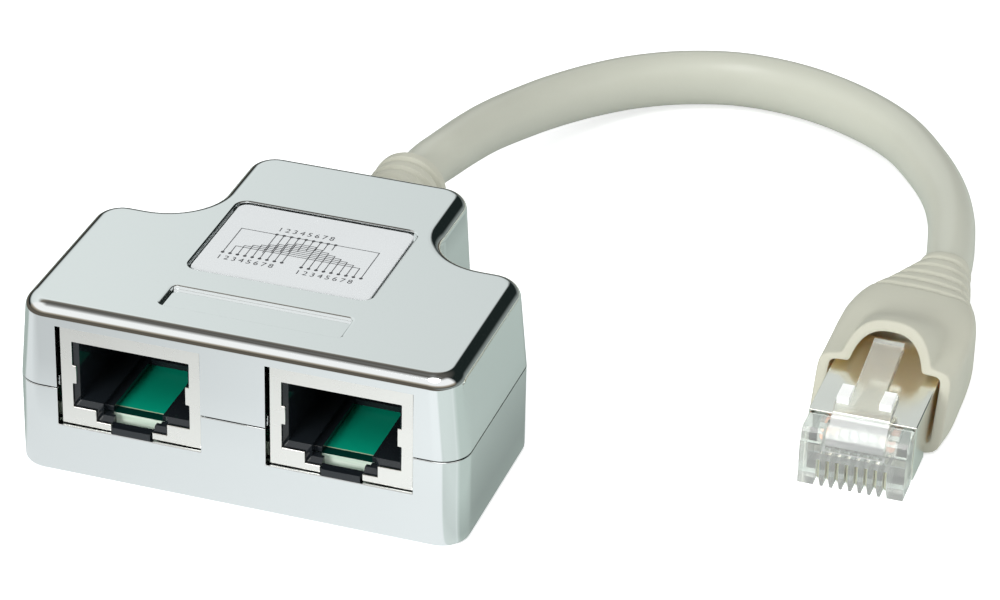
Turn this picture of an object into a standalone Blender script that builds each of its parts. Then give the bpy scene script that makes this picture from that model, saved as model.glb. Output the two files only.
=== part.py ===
"""Network splitter adapter: a T-shaped plated housing with two jacks in front and a
short moulded cord with a shielded plug behind.

Metres, +Z up. The housing stands on z = 0, centred on x = 0 and y = 0, with its two
jacks facing -Y. The cord leaves the neck at +Y, turns round on the table and brings the
plug back beside the housing.
"""

import math

import bmesh
import bpy
from mathutils import Matrix, Vector

MM = 0.001

# Clearance between pieces that touch or nest, and the finer one between metal and its slot.
FIT = 0.3 * MM
SLIM_FIT = 0.15 * MM

# Circuit board, carried on posts that rise from the lower shell's floor.
FLOOR_THICKNESS = 1.2 * MM
POST_HEIGHT = 3.9 * MM
POST_RADIUS = 1.5 * MM
BOARD_THICKNESS = 1.55 * MM
BOARD_FRONT = 2.5 * MM
BOARD_EDGE_GAP = 0.8 * MM
BOARD_TAIL = 6.0 * MM

# Jacks: a black insert in a folded metal shield, overhanging the board's front edge.
JACK_PITCH = 22.8 * MM
SHIELD_WIDTH = 15.3 * MM
SHIELD_HEIGHT = 11.4 * MM
SHIELD_DEPTH = 16.6 * MM
SHIELD_SHEET = 0.3 * MM
SHIELD_SET_BACK = 0.4 * MM
SHIELD_DROP = 1.0 * MM
MOUTH_SIDE_MARGIN = 1.25 * MM
MOUTH_BELOW_TOP = 1.65 * MM
MOUTH_ABOVE_BOTTOM = 2.05 * MM
LEAD_IN = 0.45 * MM
TAB_REACH = 0.42 * MM
TAB_LENGTH = 2.1 * MM
TAB_BELOW_MOUTH_TOP = 2.8 * MM
CHANNEL_WIDTH = 7.8 * MM
CHANNEL_DEPTH = 1.3 * MM
LATCH_SLOT_WIDTH = 4.5 * MM
INSERT_BACK_WALL = 1.3 * MM
INSERT_REAR_GAP = 2.3 * MM
BOARD_SLOT_WIDTH = 5.4 * MM

# Spring contacts, the same eight in every jack and the same pitch in the plug.
CONTACT_COUNT = 8
CONTACT_PITCH = 1.016 * MM
CONTACT_RADIUS = 0.2 * MM
CONTACT_BEND = 0.35 * MM
CONTACT_TROUGH = 0.95 * MM
CONTACT_TIP_DEPTH = 9.0 * MM
CONTACT_TIP_DROP = 2.5 * MM

# Housing: two plated shells that meet at the parting line.
SIDE_MARGIN = 5.3 * MM
ROOF_MARGIN = 2.35 * MM
REAR_MARGIN = 6.4 * MM
NECK_LENGTH = 15.8 * MM
NECK_WIDTH = 25.6 * MM
PARTING_HEIGHT = 10.15 * MM
PARTING_GAP = 0.2 * MM
WALL = 1.35 * MM
ROOF_THICKNESS = 1.2 * MM
SIDE_DRAFT = 0.8 * MM
END_DRAFT = 0.45 * MM
CORNER_RADIUS = 3.1 * MM
NECK_FILLET = 6.3 * MM
TOP_ROUND = 1.5 * MM
BOTTOM_ROUND = 0.7 * MM
LIP_THICKNESS = 0.5 * MM
LIP_HEIGHT = 1.0 * MM

# Recesses in the roof, measured from the front face: one takes the label, one is empty.
LABEL_RECESS_WIDTH = 20.0 * MM
LABEL_RECESS_LENGTH = 15.3 * MM
LABEL_RECESS_START = 12.2 * MM
LABEL_RECESS_DEPTH = 0.55 * MM
LABEL_THICKNESS = 0.2 * MM
LABEL_CORNER = 1.2 * MM
SLIM_RECESS_WIDTH = 19.6 * MM
SLIM_RECESS_LENGTH = 4.3 * MM
SLIM_RECESS_START = 4.2 * MM
SLIM_RECESS_DEPTH = 0.45 * MM
SLIM_RECESS_CORNER = 0.5 * MM

# Moulded strain relief through the neck's back wall, and the cord's own diameter.
RELIEF_RADIUS = 4.25 * MM
RELIEF_GROOVE = 0.55 * MM
RELIEF_FLANGE = 5.3 * MM
RELIEF_FLANGE_LENGTH = 1.9 * MM
RELIEF_LENGTH = 14.5 * MM
RELIEF_RING_PITCH = 2.1 * MM
RELIEF_RING_SOFTENING = 0.12 * MM
CORD_DIAMETER = 5.6 * MM
WIRE_RADIUS = 0.42 * MM

# Plug: front face centre on the table, pointing at -Y, latch up.
PLUG_X = 58.43 * MM
PLUG_FRONT = 5.05 * MM
PLUG_LENGTH = 21.4 * MM
PLUG_WIDTH = 11.5 * MM
PLUG_HEIGHT = 6.6 * MM
PLUG_SHEET = 0.25 * MM
NOSE_WIDTH = 11.2 * MM
NOSE_LENGTH = 3.6 * MM
NOSE_FACE_HEIGHT = 5.0 * MM
NOSE_STEP = 0.45 * MM
NOSE_SOFTENING = 0.4 * MM
BLADE_THICKNESS = 0.32 * MM
BLADE_LENGTH = 5.2 * MM
BLADE_HEIGHT = 2.5 * MM
BLADE_ROUND = 0.4 * MM
TOOTH_SLOT_TOP = 0.5 * MM
TOOTH_SLOT_BOTTOM = 0.72 * MM
LATCH_WIDTH = 6.1 * MM
LEVER_WIDTH = 3.25 * MM
LATCH_SHOULDER = 6.7 * MM
LATCH_LENGTH = 14.8 * MM
LATCH_THICKNESS = 0.95 * MM
LATCH_RISE = 3.3 * MM
LATCH_ROOT_START = 1.1 * MM
LATCH_ROOT_END = 2.6 * MM
LATCH_CATCH_LENGTH = 2.8 * MM
SHIELD_TUCK = 6.0 * MM

# Boot: slides over the plug's back, with a hood over the latch lever.
BOOT_WALL = 1.15 * MM
BOOT_FLOOR = 0.9 * MM
BOOT_HEIGHT = 8.1 * MM
BOOT_RIM = 9.4 * MM
BOOT_RIM_ROUND = 0.35 * MM
BOOT_LENGTH = 31.4 * MM
BOOT_LEAN = 0.55
BOOT_LEAN_DEPTH = 14.0 * MM
BOOT_RIB_COUNT = 5
BOOT_RIB_PITCH = 2.25 * MM
BOOT_RIB_HEIGHT = 0.4 * MM
HOOD_SQUARENESS = 2.6
HOOD_BLEND = 30
HOLLOW_SQUARENESS = 14.0

# The boot's sections, evenly spaced from its rim to its end. Each gives, in millimetres,
# the half width, the top and bottom heights, the hood's half width and top and the
# sideways drift, then the section's squareness and how far it is slewed.
BOOT_SECTIONS = (
    (7.20, 7.95, 0.15, 5.20, 11.65, 0.00, 8.0, 0.00),
    (7.40, 7.95, 0.15, 5.25, 11.20, 0.20, 8.0, 0.00),
    (7.40, 8.05, 0.15, 5.40, 10.30, 0.20, 8.0, 0.00),
    (7.40, 8.20, 0.15, 5.60, 9.30, 0.18, 7.0, 0.00),
    (7.20, 8.35, 0.20, 5.50, 8.60, 0.12, 6.0, 0.03),
    (6.40, 8.15, 0.40, 4.60, 8.20, 0.08, 5.0, 0.08),
    (4.95, 7.65, 0.70, 3.60, 7.70, 0.20, 4.0, 0.12),
    (3.95, 7.25, 0.95, 3.05, 7.30, 0.33, 2.9, 0.08),
    (2.95, 7.00, 1.10, 2.95, 7.00, 0.45, 2.0, 0.00),
)

# Colours of the cord's eight wires, from the plug's left to its right.
WIRE_TINTS = (
    (0.80, 0.35, 0.20),
    (0.85, 0.30, 0.05),
    (0.75, 0.80, 0.72),
    (0.10, 0.25, 0.70),
    (0.60, 0.70, 0.85),
    (0.10, 0.50, 0.15),
    (0.80, 0.70, 0.60),
    (0.35, 0.18, 0.08),
)

# Sizes that follow from the ones above.
BOARD_BOTTOM = FLOOR_THICKNESS + POST_HEIGHT + FIT
BOARD_TOP = BOARD_BOTTOM + BOARD_THICKNESS
SHIELD_BOTTOM = BOARD_TOP - SHIELD_DROP
SHIELD_TOP = SHIELD_BOTTOM + SHIELD_HEIGHT
HOUSING_WIDTH = JACK_PITCH + SHIELD_WIDTH + 2 * SIDE_MARGIN
HOUSING_HEIGHT = SHIELD_TOP + ROOF_MARGIN
BODY_DEPTH = SHIELD_SET_BACK + SHIELD_DEPTH + REAR_MARGIN
HOUSING_DEPTH = BODY_DEPTH + NECK_LENGTH
FRONT = -HOUSING_DEPTH / 2
BACK = HOUSING_DEPTH / 2
MOUTH_WIDTH = SHIELD_WIDTH - 2 * MOUTH_SIDE_MARGIN
MOUTH_TOP = SHIELD_TOP - MOUTH_BELOW_TOP
MOUTH_BOTTOM = SHIELD_BOTTOM + MOUTH_ABOVE_BOTTOM
CHANNEL_BOTTOM = MOUTH_BOTTOM - CHANNEL_DEPTH
CAVITY_DEPTH = SHIELD_DEPTH - INSERT_REAR_GAP - INSERT_BACK_WALL
CORD_HEIGHT = PARTING_HEIGHT
RELIEF_END = BACK + RELIEF_LENGTH
BOOT_START = PLUG_FRONT + BOOT_RIM
PLUG_RAISED_FLOOR = BOOT_FLOOR + 2 * FIT
PLUG_RAISED_START = BOOT_START - 2 * FIT
WIRE_CHANNEL_FLOOR = FIT + BLADE_HEIGHT + 2 * FIT

# The cord's route, chosen by hand: out of the relief, down onto the table, round and
# back to the boot.
CORD_ROUTE = [
    Vector(point) * MM
    for point in (
        (0.0, 34.5, 10.15),
        (0.2, 39.0, 10.1),
        (0.9, 43.0, 9.8),
        (1.6, 48.6, 9.0),
        (2.6, 54.4, 8.1),
        (4.2, 60.9, 6.9),
        (6.3, 67.0, 5.9),
        (9.4, 73.4, 4.9),
        (13.4, 79.0, 4.1),
        (18.6, 83.0, 3.65),
        (25.1, 85.2, 3.45),
        (32.6, 84.7, 3.4),
        (40.0, 81.8, 3.4),
        (46.4, 77.0, 3.5),
        (51.3, 70.5, 3.6),
        (54.6, 64.4, 3.8),
        (56.8, 58.2, 4.0),
        (58.1, 52.4, 4.05),
        (58.75, 48.4, 4.05),
        (58.88, 46.15, 4.05),
    )
]


def clear_scene():
    for item in list(bpy.data.objects):
        bpy.data.objects.remove(item, do_unlink=True)


def finish(item, colour, roughness, metallic=0.0):
    """Give the object its own plain material."""
    material = bpy.data.materials.new(item.name + "_finish")
    material.use_nodes = True
    shader = material.node_tree.nodes["Principled BSDF"]
    shader.inputs["Base Color"].default_value = (*colour, 1.0)
    shader.inputs["Roughness"].default_value = roughness
    shader.inputs["Metallic"].default_value = metallic
    item.data.materials.clear()
    item.data.materials.append(material)
    return item


def mesh_object(name, shape):
    """Turn a bmesh into an object with outward faces and smooth round sides."""
    bmesh.ops.recalc_face_normals(shape, faces=shape.faces)
    mesh = bpy.data.meshes.new(name)
    shape.to_mesh(mesh)
    shape.free()
    mesh.shade_smooth()
    mesh.set_sharp_from_angle(angle=math.radians(35))
    item = bpy.data.objects.new(name, mesh)
    bpy.context.collection.objects.link(item)
    return item


def loft(name, rings):
    """A closed body through rings of points, flat at both ends."""
    shape = bmesh.new()
    loops = [[shape.verts.new(point) for point in ring] for ring in rings]
    count = len(loops[0])
    for lower, upper in zip(loops, loops[1:]):
        for i in range(count):
            j = (i + 1) % count
            shape.faces.new((lower[i], lower[j], upper[j], upper[i]))
    shape.faces.new(loops[0])
    shape.faces.new(loops[-1])
    return mesh_object(name, shape)


def block(name, low, high):
    """A box between two opposite corners."""
    corners = ((0, 0), (1, 0), (1, 1), (0, 1))
    rings = [
        [((low[0], high[0])[i], (low[1], high[1])[j], z) for i, j in corners]
        for z in (low[2], high[2])
    ]
    return loft(name, rings)


def front_prism(name, outline, start, end):
    """An outline of (x, z) points drawn on the front and run back along Y."""
    rings = [[(x, y, z) for x, z in outline] for y in (start, end)]
    return loft(name, rings)


def side_prism(name, outline, half_width, centre=0.0):
    """An outline of (y, z) points drawn on the side and run across along X."""
    rings = [
        [(centre + side * half_width, y, z) for y, z in outline] for side in (-1, 1)
    ]
    return loft(name, rings)


def turned(name, outline, height, steps, centre=0.0):
    """A profile of (y, radius) points turned about a line along Y."""
    rings = []
    for y, radius in outline:
        ring = []
        for i in range(steps):
            angle = 2 * math.pi * i / steps
            ring.append(
                (centre + radius * math.cos(angle), y, height + radius * math.sin(angle))
            )
        rings.append(ring)
    return loft(name, rings)


def boolean(target, tool, operation="DIFFERENCE"):
    """Cut the target with the tool, or join the tool to it. The tool is a guide only."""
    tool.hide_render = True
    tool.display_type = "WIRE"
    modifier = target.modifiers.new(tool.name, "BOOLEAN")
    modifier.operation = operation
    modifier.object = tool
    return target


def tube(name, points, radius, resolution=2):
    """A round wire or cord through the points."""
    curve = bpy.data.curves.new(name, "CURVE")
    curve.dimensions = "3D"
    curve.bevel_depth = radius
    curve.bevel_resolution = resolution
    curve.use_fill_caps = True
    spline = curve.splines.new("POLY")
    spline.points.add(len(points) - 1)
    for place, point in zip(spline.points, points):
        place.co = (*point, 1.0)
    item = bpy.data.objects.new(name, curve)
    bpy.context.collection.objects.link(item)
    return item


def rounded(corners, steps):
    """Round the corners of a closed outline: each corner is (x, y, radius)."""
    points = []
    count = len(corners)
    for i, (x, y, radius) in enumerate(corners):
        corner = Vector((x, y))
        before = Vector(corners[i - 1][:2]) - corner
        after = Vector(corners[(i + 1) % count][:2]) - corner
        before.normalize()
        after.normalize()
        half = before.angle(after) / 2
        centre = corner + (before + after).normalized() * radius / math.sin(half)
        start = corner + before * radius / math.tan(half) - centre
        end = corner + after * radius / math.tan(half) - centre
        turn = start.angle_signed(end)
        for k in range(steps + 1):
            arm = start.copy()
            arm.rotate(Matrix.Rotation(-turn * k / steps, 2))
            points.append(centre + arm)
    return points


def rounded_box(width, depth, start, radius, steps=4):
    """A rounded rectangle in plan, centred on x = 0, that starts behind the front face."""
    low = FRONT + start
    half = width / 2
    corners = (
        (-half, low, radius),
        (half, low, radius),
        (half, low + depth, radius),
        (-half, low + depth, radius),
    )
    return rounded(corners, steps)


def smooth_between(a, b, c, d, t):
    """A smooth curve through four evenly spaced values, read between the middle two."""
    square = 2 * a - 5 * b + 4 * c - d
    cube = 3 * b - a - 3 * c + d
    return 0.5 * (2 * b + (c - a) * t + square * t**2 + cube * t**3)


def smooth_route(route, spacing):
    """Read evenly spaced points from a smooth curve through the route's own points."""
    fine = []
    parts = 16
    padded = [2 * route[0] - route[1], *route, 2 * route[-1] - route[-2]]
    for a, b, c, d in zip(padded, padded[1:], padded[2:], padded[3:]):
        for k in range(parts):
            fine.append(smooth_between(a, b, c, d, k / parts))
    fine.append(route[-1])
    lengths = [0.0]
    for a, b in zip(fine, fine[1:]):
        lengths.append(lengths[-1] + (b - a).length)
    count = max(2, round(lengths[-1] / spacing))
    points = []
    place = 0
    for k in range(count + 1):
        target = lengths[-1] * k / count
        while place < len(fine) - 2 and lengths[place + 1] < target:
            place += 1
        step = lengths[place + 1] - lengths[place]
        points.append(fine[place].lerp(fine[place + 1], (target - lengths[place]) / step))
    return points


# Housing shells


def tee_ring(height, draft, inset):
    """The T-shaped outline at a height, drafted in towards the roof and set in by inset."""
    side = HOUSING_WIDTH / 2 - SIDE_DRAFT * draft - inset
    neck = NECK_WIDTH / 2 - END_DRAFT * draft - inset
    front = FRONT + inset
    shoulder = FRONT + BODY_DEPTH - END_DRAFT * draft - inset
    back = BACK - END_DRAFT * draft - inset
    outer = CORNER_RADIUS - inset
    inner = NECK_FILLET + inset
    corners = (
        (side, front, outer),
        (side, shoulder, outer),
        (neck, shoulder, inner),
        (neck, back, outer),
        (-neck, back, outer),
        (-neck, shoulder, inner),
        (-side, shoulder, outer),
        (-side, front, outer),
    )
    return [(x, y, height) for x, y in rounded(corners, 6)]


def round_edge(radius, steps):
    """Pairs of (drop, inset) along a quarter round, from the flat face to the wall."""
    pairs = []
    for k in range(steps + 1):
        angle = math.pi / 2 * k / steps
        pairs.append((radius * (1 - math.cos(angle)), radius * (1 - math.sin(angle))))
    return pairs


def draft_at(height):
    """How far up the drafted wall a height is, from 0 at the parting line to 1."""
    return max(0.0, (height - PARTING_HEIGHT) / (HOUSING_HEIGHT - PARTING_HEIGHT))


def window_cutters(name):
    """The two square holes in the front wall that the jacks look out of."""
    low = SHIELD_BOTTOM - FIT
    high = SHIELD_TOP + FIT
    half = SHIELD_WIDTH / 2 + FIT
    cutters = []
    for side, label in ((-1, "left"), (1, "right")):
        centre = side * JACK_PITCH / 2
        cutters.append(
            block(
                f"{name}_{label}_window",
                (centre - half, FRONT - WALL, low),
                (centre + half, FRONT + 2 * WALL, high),
            )
        )
    return cutters


def relief_hole(name):
    """The round hole in the neck's back wall, half in each shell."""
    hole = RELIEF_RADIUS + FIT
    outline = ((BACK - 2 * WALL, hole), (BACK + WALL, hole))
    return turned(name, outline, CORD_HEIGHT, 24)


def upper_shell():
    """Roof and drafted walls, with a rebate inside the rim for the lower shell's lip."""
    rings = [
        tee_ring(HOUSING_HEIGHT - drop, draft_at(HOUSING_HEIGHT - drop), inset)
        for drop, inset in round_edge(TOP_ROUND, 5)
    ]
    rim = PARTING_HEIGHT + PARTING_GAP / 2
    rebate = WALL - LIP_THICKNESS - FIT
    rebate_top = PARTING_HEIGHT + LIP_HEIGHT + FIT
    ceiling = HOUSING_HEIGHT - ROOF_THICKNESS
    for height, inset in ((rim, 0.0), (rim, rebate), (rebate_top, rebate)):
        rings.append(tee_ring(height, draft_at(height), inset))
    for height in (rebate_top, ceiling):
        rings.append(tee_ring(height, draft_at(height), WALL))
    shell = loft("upper_shell", rings)

    floor = HOUSING_HEIGHT - LABEL_RECESS_DEPTH
    above = HOUSING_HEIGHT + WALL
    outline = rounded_box(
        LABEL_RECESS_WIDTH, LABEL_RECESS_LENGTH, LABEL_RECESS_START, LABEL_CORNER
    )
    label_pocket = loft(
        "label_pocket", [[(x, y, z) for x, y in outline] for z in (floor, above)]
    )
    slope = SLIM_RECESS_DEPTH
    slim_rings = []
    for depth, spread in ((-slope, slope), (slope, -slope)):
        slim = rounded_box(
            SLIM_RECESS_WIDTH + 2 * spread,
            SLIM_RECESS_LENGTH + 2 * spread,
            SLIM_RECESS_START - spread,
            SLIM_RECESS_CORNER + max(spread, 0.0),
        )
        slim_rings.append([(x, y, HOUSING_HEIGHT - depth) for x, y in slim])
    slim_pocket = loft("slim_pocket", slim_rings)
    cutters = [label_pocket, slim_pocket, relief_hole("upper_relief_hole")]
    for cutter in (*cutters, *window_cutters("upper")):
        boolean(shell, cutter)
    return finish(shell, (0.78, 0.80, 0.80), 0.08, 1.0)


def post_places():
    """Where the posts under the board stand."""
    side = HOUSING_WIDTH / 2 - WALL - BOARD_EDGE_GAP - 2 * POST_RADIUS
    tail = NECK_WIDTH / 2 - WALL - BOARD_EDGE_GAP - 2 * POST_RADIUS
    near = FRONT + BOARD_FRONT + 2 * POST_RADIUS
    far = FRONT + BODY_DEPTH - 2 * WALL - 2 * POST_RADIUS
    end = far + BOARD_TAIL
    places = [(x, y) for y in (near, far) for x in (-side, side)]
    return [*places, (0.0, (near + far) / 2), (-tail, end), (tail, end)]


def lower_shell():
    """Tray with upright walls, a locating lip inside the rim and posts for the board."""
    rings = [
        tee_ring(drop, 0.0, inset) for drop, inset in round_edge(BOTTOM_ROUND, 3)
    ]
    rim = PARTING_HEIGHT - PARTING_GAP / 2
    lip_outside = WALL - LIP_THICKNESS
    lip_top = PARTING_HEIGHT + LIP_HEIGHT
    for height, inset in (
        (rim, 0.0),
        (rim, lip_outside),
        (lip_top, lip_outside),
        (lip_top, WALL),
        (FLOOR_THICKNESS, WALL),
    ):
        rings.append(tee_ring(height, 0.0, inset))
    shell = loft("lower_shell", rings)

    for i, (x, y) in enumerate(post_places()):
        ring = [
            (
                x + POST_RADIUS * math.cos(2 * math.pi * k / 12),
                y + POST_RADIUS * math.sin(2 * math.pi * k / 12),
            )
            for k in range(12)
        ]
        foot = FLOOR_THICKNESS / 2
        head = BOARD_BOTTOM - FIT
        post = loft(
            f"board_post_{i + 1}", [[(*place, z) for place in ring] for z in (foot, head)]
        )
        boolean(shell, post, "UNION")
    for cutter in (relief_hole("lower_relief_hole"), *window_cutters("lower")):
        boolean(shell, cutter)
    return finish(shell, (0.78, 0.80, 0.80), 0.08, 1.0)


def wiring_label():
    """Printed plastic label that lies in the larger recess."""
    outline = rounded_box(
        LABEL_RECESS_WIDTH - 2 * SLIM_FIT,
        LABEL_RECESS_LENGTH - 2 * SLIM_FIT,
        LABEL_RECESS_START + SLIM_FIT,
        LABEL_CORNER - SLIM_FIT,
    )
    bottom = HOUSING_HEIGHT - LABEL_RECESS_DEPTH + SLIM_FIT
    top = bottom + LABEL_THICKNESS
    label = loft("wiring_label", [[(x, y, z) for x, y in outline] for z in (bottom, top)])
    return finish(label, (0.86, 0.88, 0.92), 0.4)


# Circuit board and the wires that the cord brings to it


def board_tail_end():
    """The back edge of the board's narrow tail in the neck."""
    return FRONT + BODY_DEPTH - WALL - BOARD_EDGE_GAP + BOARD_TAIL + 4 * POST_RADIUS


def circuit_board():
    """T-shaped glass-fibre board that carries both jacks and takes the cord's wires."""
    side = HOUSING_WIDTH / 2 - WALL - BOARD_EDGE_GAP
    tail = NECK_WIDTH / 2 - WALL - BOARD_EDGE_GAP
    near = FRONT + BOARD_FRONT
    far = FRONT + BODY_DEPTH - WALL - BOARD_EDGE_GAP
    end = board_tail_end()
    outline = (
        (-side, near),
        (side, near),
        (side, far),
        (tail, far),
        (tail, end),
        (-tail, end),
        (-tail, far),
        (-side, far),
    )
    rings = [[(x, y, z) for x, y in outline] for z in (BOARD_BOTTOM, BOARD_TOP)]
    return finish(loft("circuit_board", rings), (0.0, 0.17, 0.09), 0.3)


def cable_inner_end():
    """The end of the cord's jacket inside the neck, and its eight wires to the board."""
    flange_face = BACK - WALL - FIT - RELIEF_FLANGE_LENGTH
    start = flange_face - FIT
    end = start - RELIEF_FLANGE_LENGTH
    radius = CORD_DIAMETER / 2
    jacket = turned("cable_inner_end", ((end, radius), (start, radius)), CORD_HEIGHT, 20)
    finish(jacket, (0.50, 0.50, 0.42), 0.5)
    pad_row = board_tail_end() - 4 * POST_RADIUS
    landing = BOARD_TOP + FIT + WIRE_RADIUS
    spread = 2 * CONTACT_PITCH
    stub = Vector((0, -1.5 * WIRE_RADIUS, 0))
    slack = Vector((0, 0, WIRE_RADIUS))
    landing_run = Vector((0, 3 * WIRE_RADIUS, WIRE_RADIUS / 2))
    for i, tint in enumerate(WIRE_TINTS):
        column = (i // 2 - 1.5) * (2 * WIRE_RADIUS + FIT)
        row = (i % 2 - 0.5) * (2 * WIRE_RADIUS + 2 * FIT)
        leave = Vector((column, end - FIT, CORD_HEIGHT + row))
        pad = Vector((contact_place(i) * spread, pad_row, landing))
        halfway = leave.lerp(pad, 0.5) + slack
        route = [leave, leave + stub, halfway, pad + landing_run, pad]
        points = smooth_route(route, 3 * WIRE_RADIUS)
        wire = tube(f"board_wire_{i + 1}", points, WIRE_RADIUS, 1)
        finish(wire, tint, 0.45)


# Jacks


def contact_place(index):
    """A contact's place in its row of eight, counted from the row's middle."""
    return index - (CONTACT_COUNT - 1) / 2


def mouth_outline(centre, grow, channel_bottom):
    """The stepped opening, seen from the front: a wide mouth over the latch channel."""
    half = MOUTH_WIDTH / 2 + grow
    step = CHANNEL_WIDTH / 2 + grow
    return [
        (centre - half, MOUTH_TOP + grow),
        (centre - half, MOUTH_BOTTOM - grow),
        (centre - step, MOUTH_BOTTOM - grow),
        (centre - step, channel_bottom - grow),
        (centre + step, channel_bottom - grow),
        (centre + step, MOUTH_BOTTOM - grow),
        (centre + half, MOUTH_BOTTOM - grow),
        (centre + half, MOUTH_TOP + grow),
    ]


def jack_shield(side, centre):
    """Folded sheet: front plate with the stepped cut-out, roof and two sides."""
    half = SHIELD_WIDTH / 2
    near = FRONT + SHIELD_SET_BACK
    far = near + SHIELD_DEPTH
    board_edge = FRONT + BOARD_FRONT - FIT
    board_seat = BOARD_TOP + FIT
    outline = (
        (near, SHIELD_BOTTOM),
        (board_edge, SHIELD_BOTTOM),
        (board_edge, board_seat),
        (far, board_seat),
        (far, SHIELD_TOP),
        (near, SHIELD_TOP),
    )
    shield = side_prism(f"{side}_jack_shield", outline, half, centre)
    inside = block(
        f"{side}_shield_inside",
        (centre - half + SHIELD_SHEET, near + SHIELD_SHEET, SHIELD_BOTTOM - WALL),
        (centre + half - SHIELD_SHEET, far + WALL, SHIELD_TOP - SHIELD_SHEET),
    )
    mouth_half = MOUTH_WIDTH / 2
    tab = mouth_half - TAB_REACH
    tab_top = MOUTH_TOP - TAB_BELOW_MOUTH_TOP
    tab_bottom = tab_top - TAB_LENGTH
    slot = LATCH_SLOT_WIDTH / 2
    step = CHANNEL_WIDTH / 2
    below = SHIELD_BOTTOM - WALL
    right = [
        (slot, below),
        (slot, CHANNEL_BOTTOM),
        (step, CHANNEL_BOTTOM),
        (step, MOUTH_BOTTOM),
        (mouth_half, MOUTH_BOTTOM),
        (mouth_half, tab_bottom),
        (tab, tab_bottom),
        (tab, tab_top),
        (mouth_half, tab_top),
        (mouth_half, MOUTH_TOP),
    ]
    cut = [(centre + x, z) for x, z in right]
    cut += [(centre - x, z) for x, z in reversed(right)]
    mouth = front_prism(
        f"{side}_shield_mouth", cut, near - WALL, near + SHIELD_SHEET + SHIELD_SHEET / 2
    )
    boolean(shield, inside)
    boolean(shield, mouth)
    return finish(shield, (0.72, 0.70, 0.62), 0.28, 1.0)


def jack_body(side, centre):
    """Moulded insert: cavity with a lead-in, latch channel open to the board below, a
    notch in front of the board, a trough in its roof for the contacts and a crossbar
    that fills the shield's slot."""
    half = SHIELD_WIDTH / 2 - SHIELD_SHEET - FIT
    near = FRONT + SHIELD_SET_BACK + SHIELD_SHEET + SLIM_FIT
    back = FRONT + SHIELD_SET_BACK + CAVITY_DEPTH + INSERT_BACK_WALL
    cavity_back = back - INSERT_BACK_WALL
    board_edge = FRONT + BOARD_FRONT - FIT
    seat = BOARD_TOP + FIT
    lip = CHANNEL_BOTTOM - LEAD_IN
    roof = SHIELD_TOP - SHIELD_SHEET - FIT
    outline = (
        (near, lip),
        (board_edge, lip),
        (board_edge, seat),
        (back, seat),
        (back, roof),
        (near, roof),
    )
    body = side_prism(f"{side}_jack_body", outline, half, centre)

    front_floor = CHANNEL_BOTTOM
    web_top = seat + 2 * FIT
    mouth_rings = []
    for y, grow, bottom in (
        (near - 2 * SHIELD_SHEET, LEAD_IN, front_floor),
        (near, 0.0, front_floor),
        (near + LEAD_IN, -LEAD_IN, front_floor),
        (board_edge, -LEAD_IN, front_floor),
    ):
        ring = mouth_outline(centre, grow, bottom)
        mouth_rings.append([(x, y, z) for x, z in ring])
    mouth = loft(f"{side}_mouth_lead_in", mouth_rings)
    cavity = front_prism(
        f"{side}_cavity",
        mouth_outline(centre, -LEAD_IN, web_top - LEAD_IN),
        near + 2 * LEAD_IN,
        cavity_back,
    )
    slot = BOARD_SLOT_WIDTH / 2
    bar_top = CHANNEL_BOTTOM - SLIM_FIT
    floor_slot = block(
        f"{side}_floor_slot",
        (centre - slot, near + 2 * LEAD_IN, lip - WALL),
        (centre + slot, cavity_back - WALL, MOUTH_BOTTOM),
    )
    notch_outline = (
        (near - SHIELD_SHEET, bar_top),
        (near + LEAD_IN, bar_top),
        (near + LEAD_IN, lip - WALL),
        (near + 3 * LEAD_IN, lip - WALL),
        (near + 3 * LEAD_IN, MOUTH_BOTTOM),
        (near - SHIELD_SHEET, MOUTH_BOTTOM),
    )
    notch_name = f"{side}_front_notch"
    front_notch = side_prism(notch_name, notch_outline, LATCH_SLOT_WIDTH / 2, centre)
    trough_half = (CONTACT_COUNT * CONTACT_PITCH) / 2 + FIT
    trough_low = MOUTH_TOP - 2 * LEAD_IN
    trough = block(
        f"{side}_contact_trough",
        (centre - trough_half, near + 2 * LEAD_IN, trough_low),
        (centre + trough_half, back + WALL, MOUTH_TOP - LEAD_IN + CONTACT_TROUGH),
    )
    bar_half = LATCH_SLOT_WIDTH / 2 - SLIM_FIT
    bar = block(
        f"{side}_crossbar",
        (centre - bar_half, FRONT + SLIM_FIT, SHIELD_BOTTOM - SLIM_FIT),
        (centre + bar_half, near + LEAD_IN / 2, bar_top),
    )
    boolean(body, mouth)
    boolean(body, cavity)
    boolean(body, floor_slot)
    boolean(body, front_notch)
    boolean(body, trough)
    boolean(body, bar, "UNION")
    return finish(body, (0.012, 0.014, 0.018), 0.25)


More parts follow.
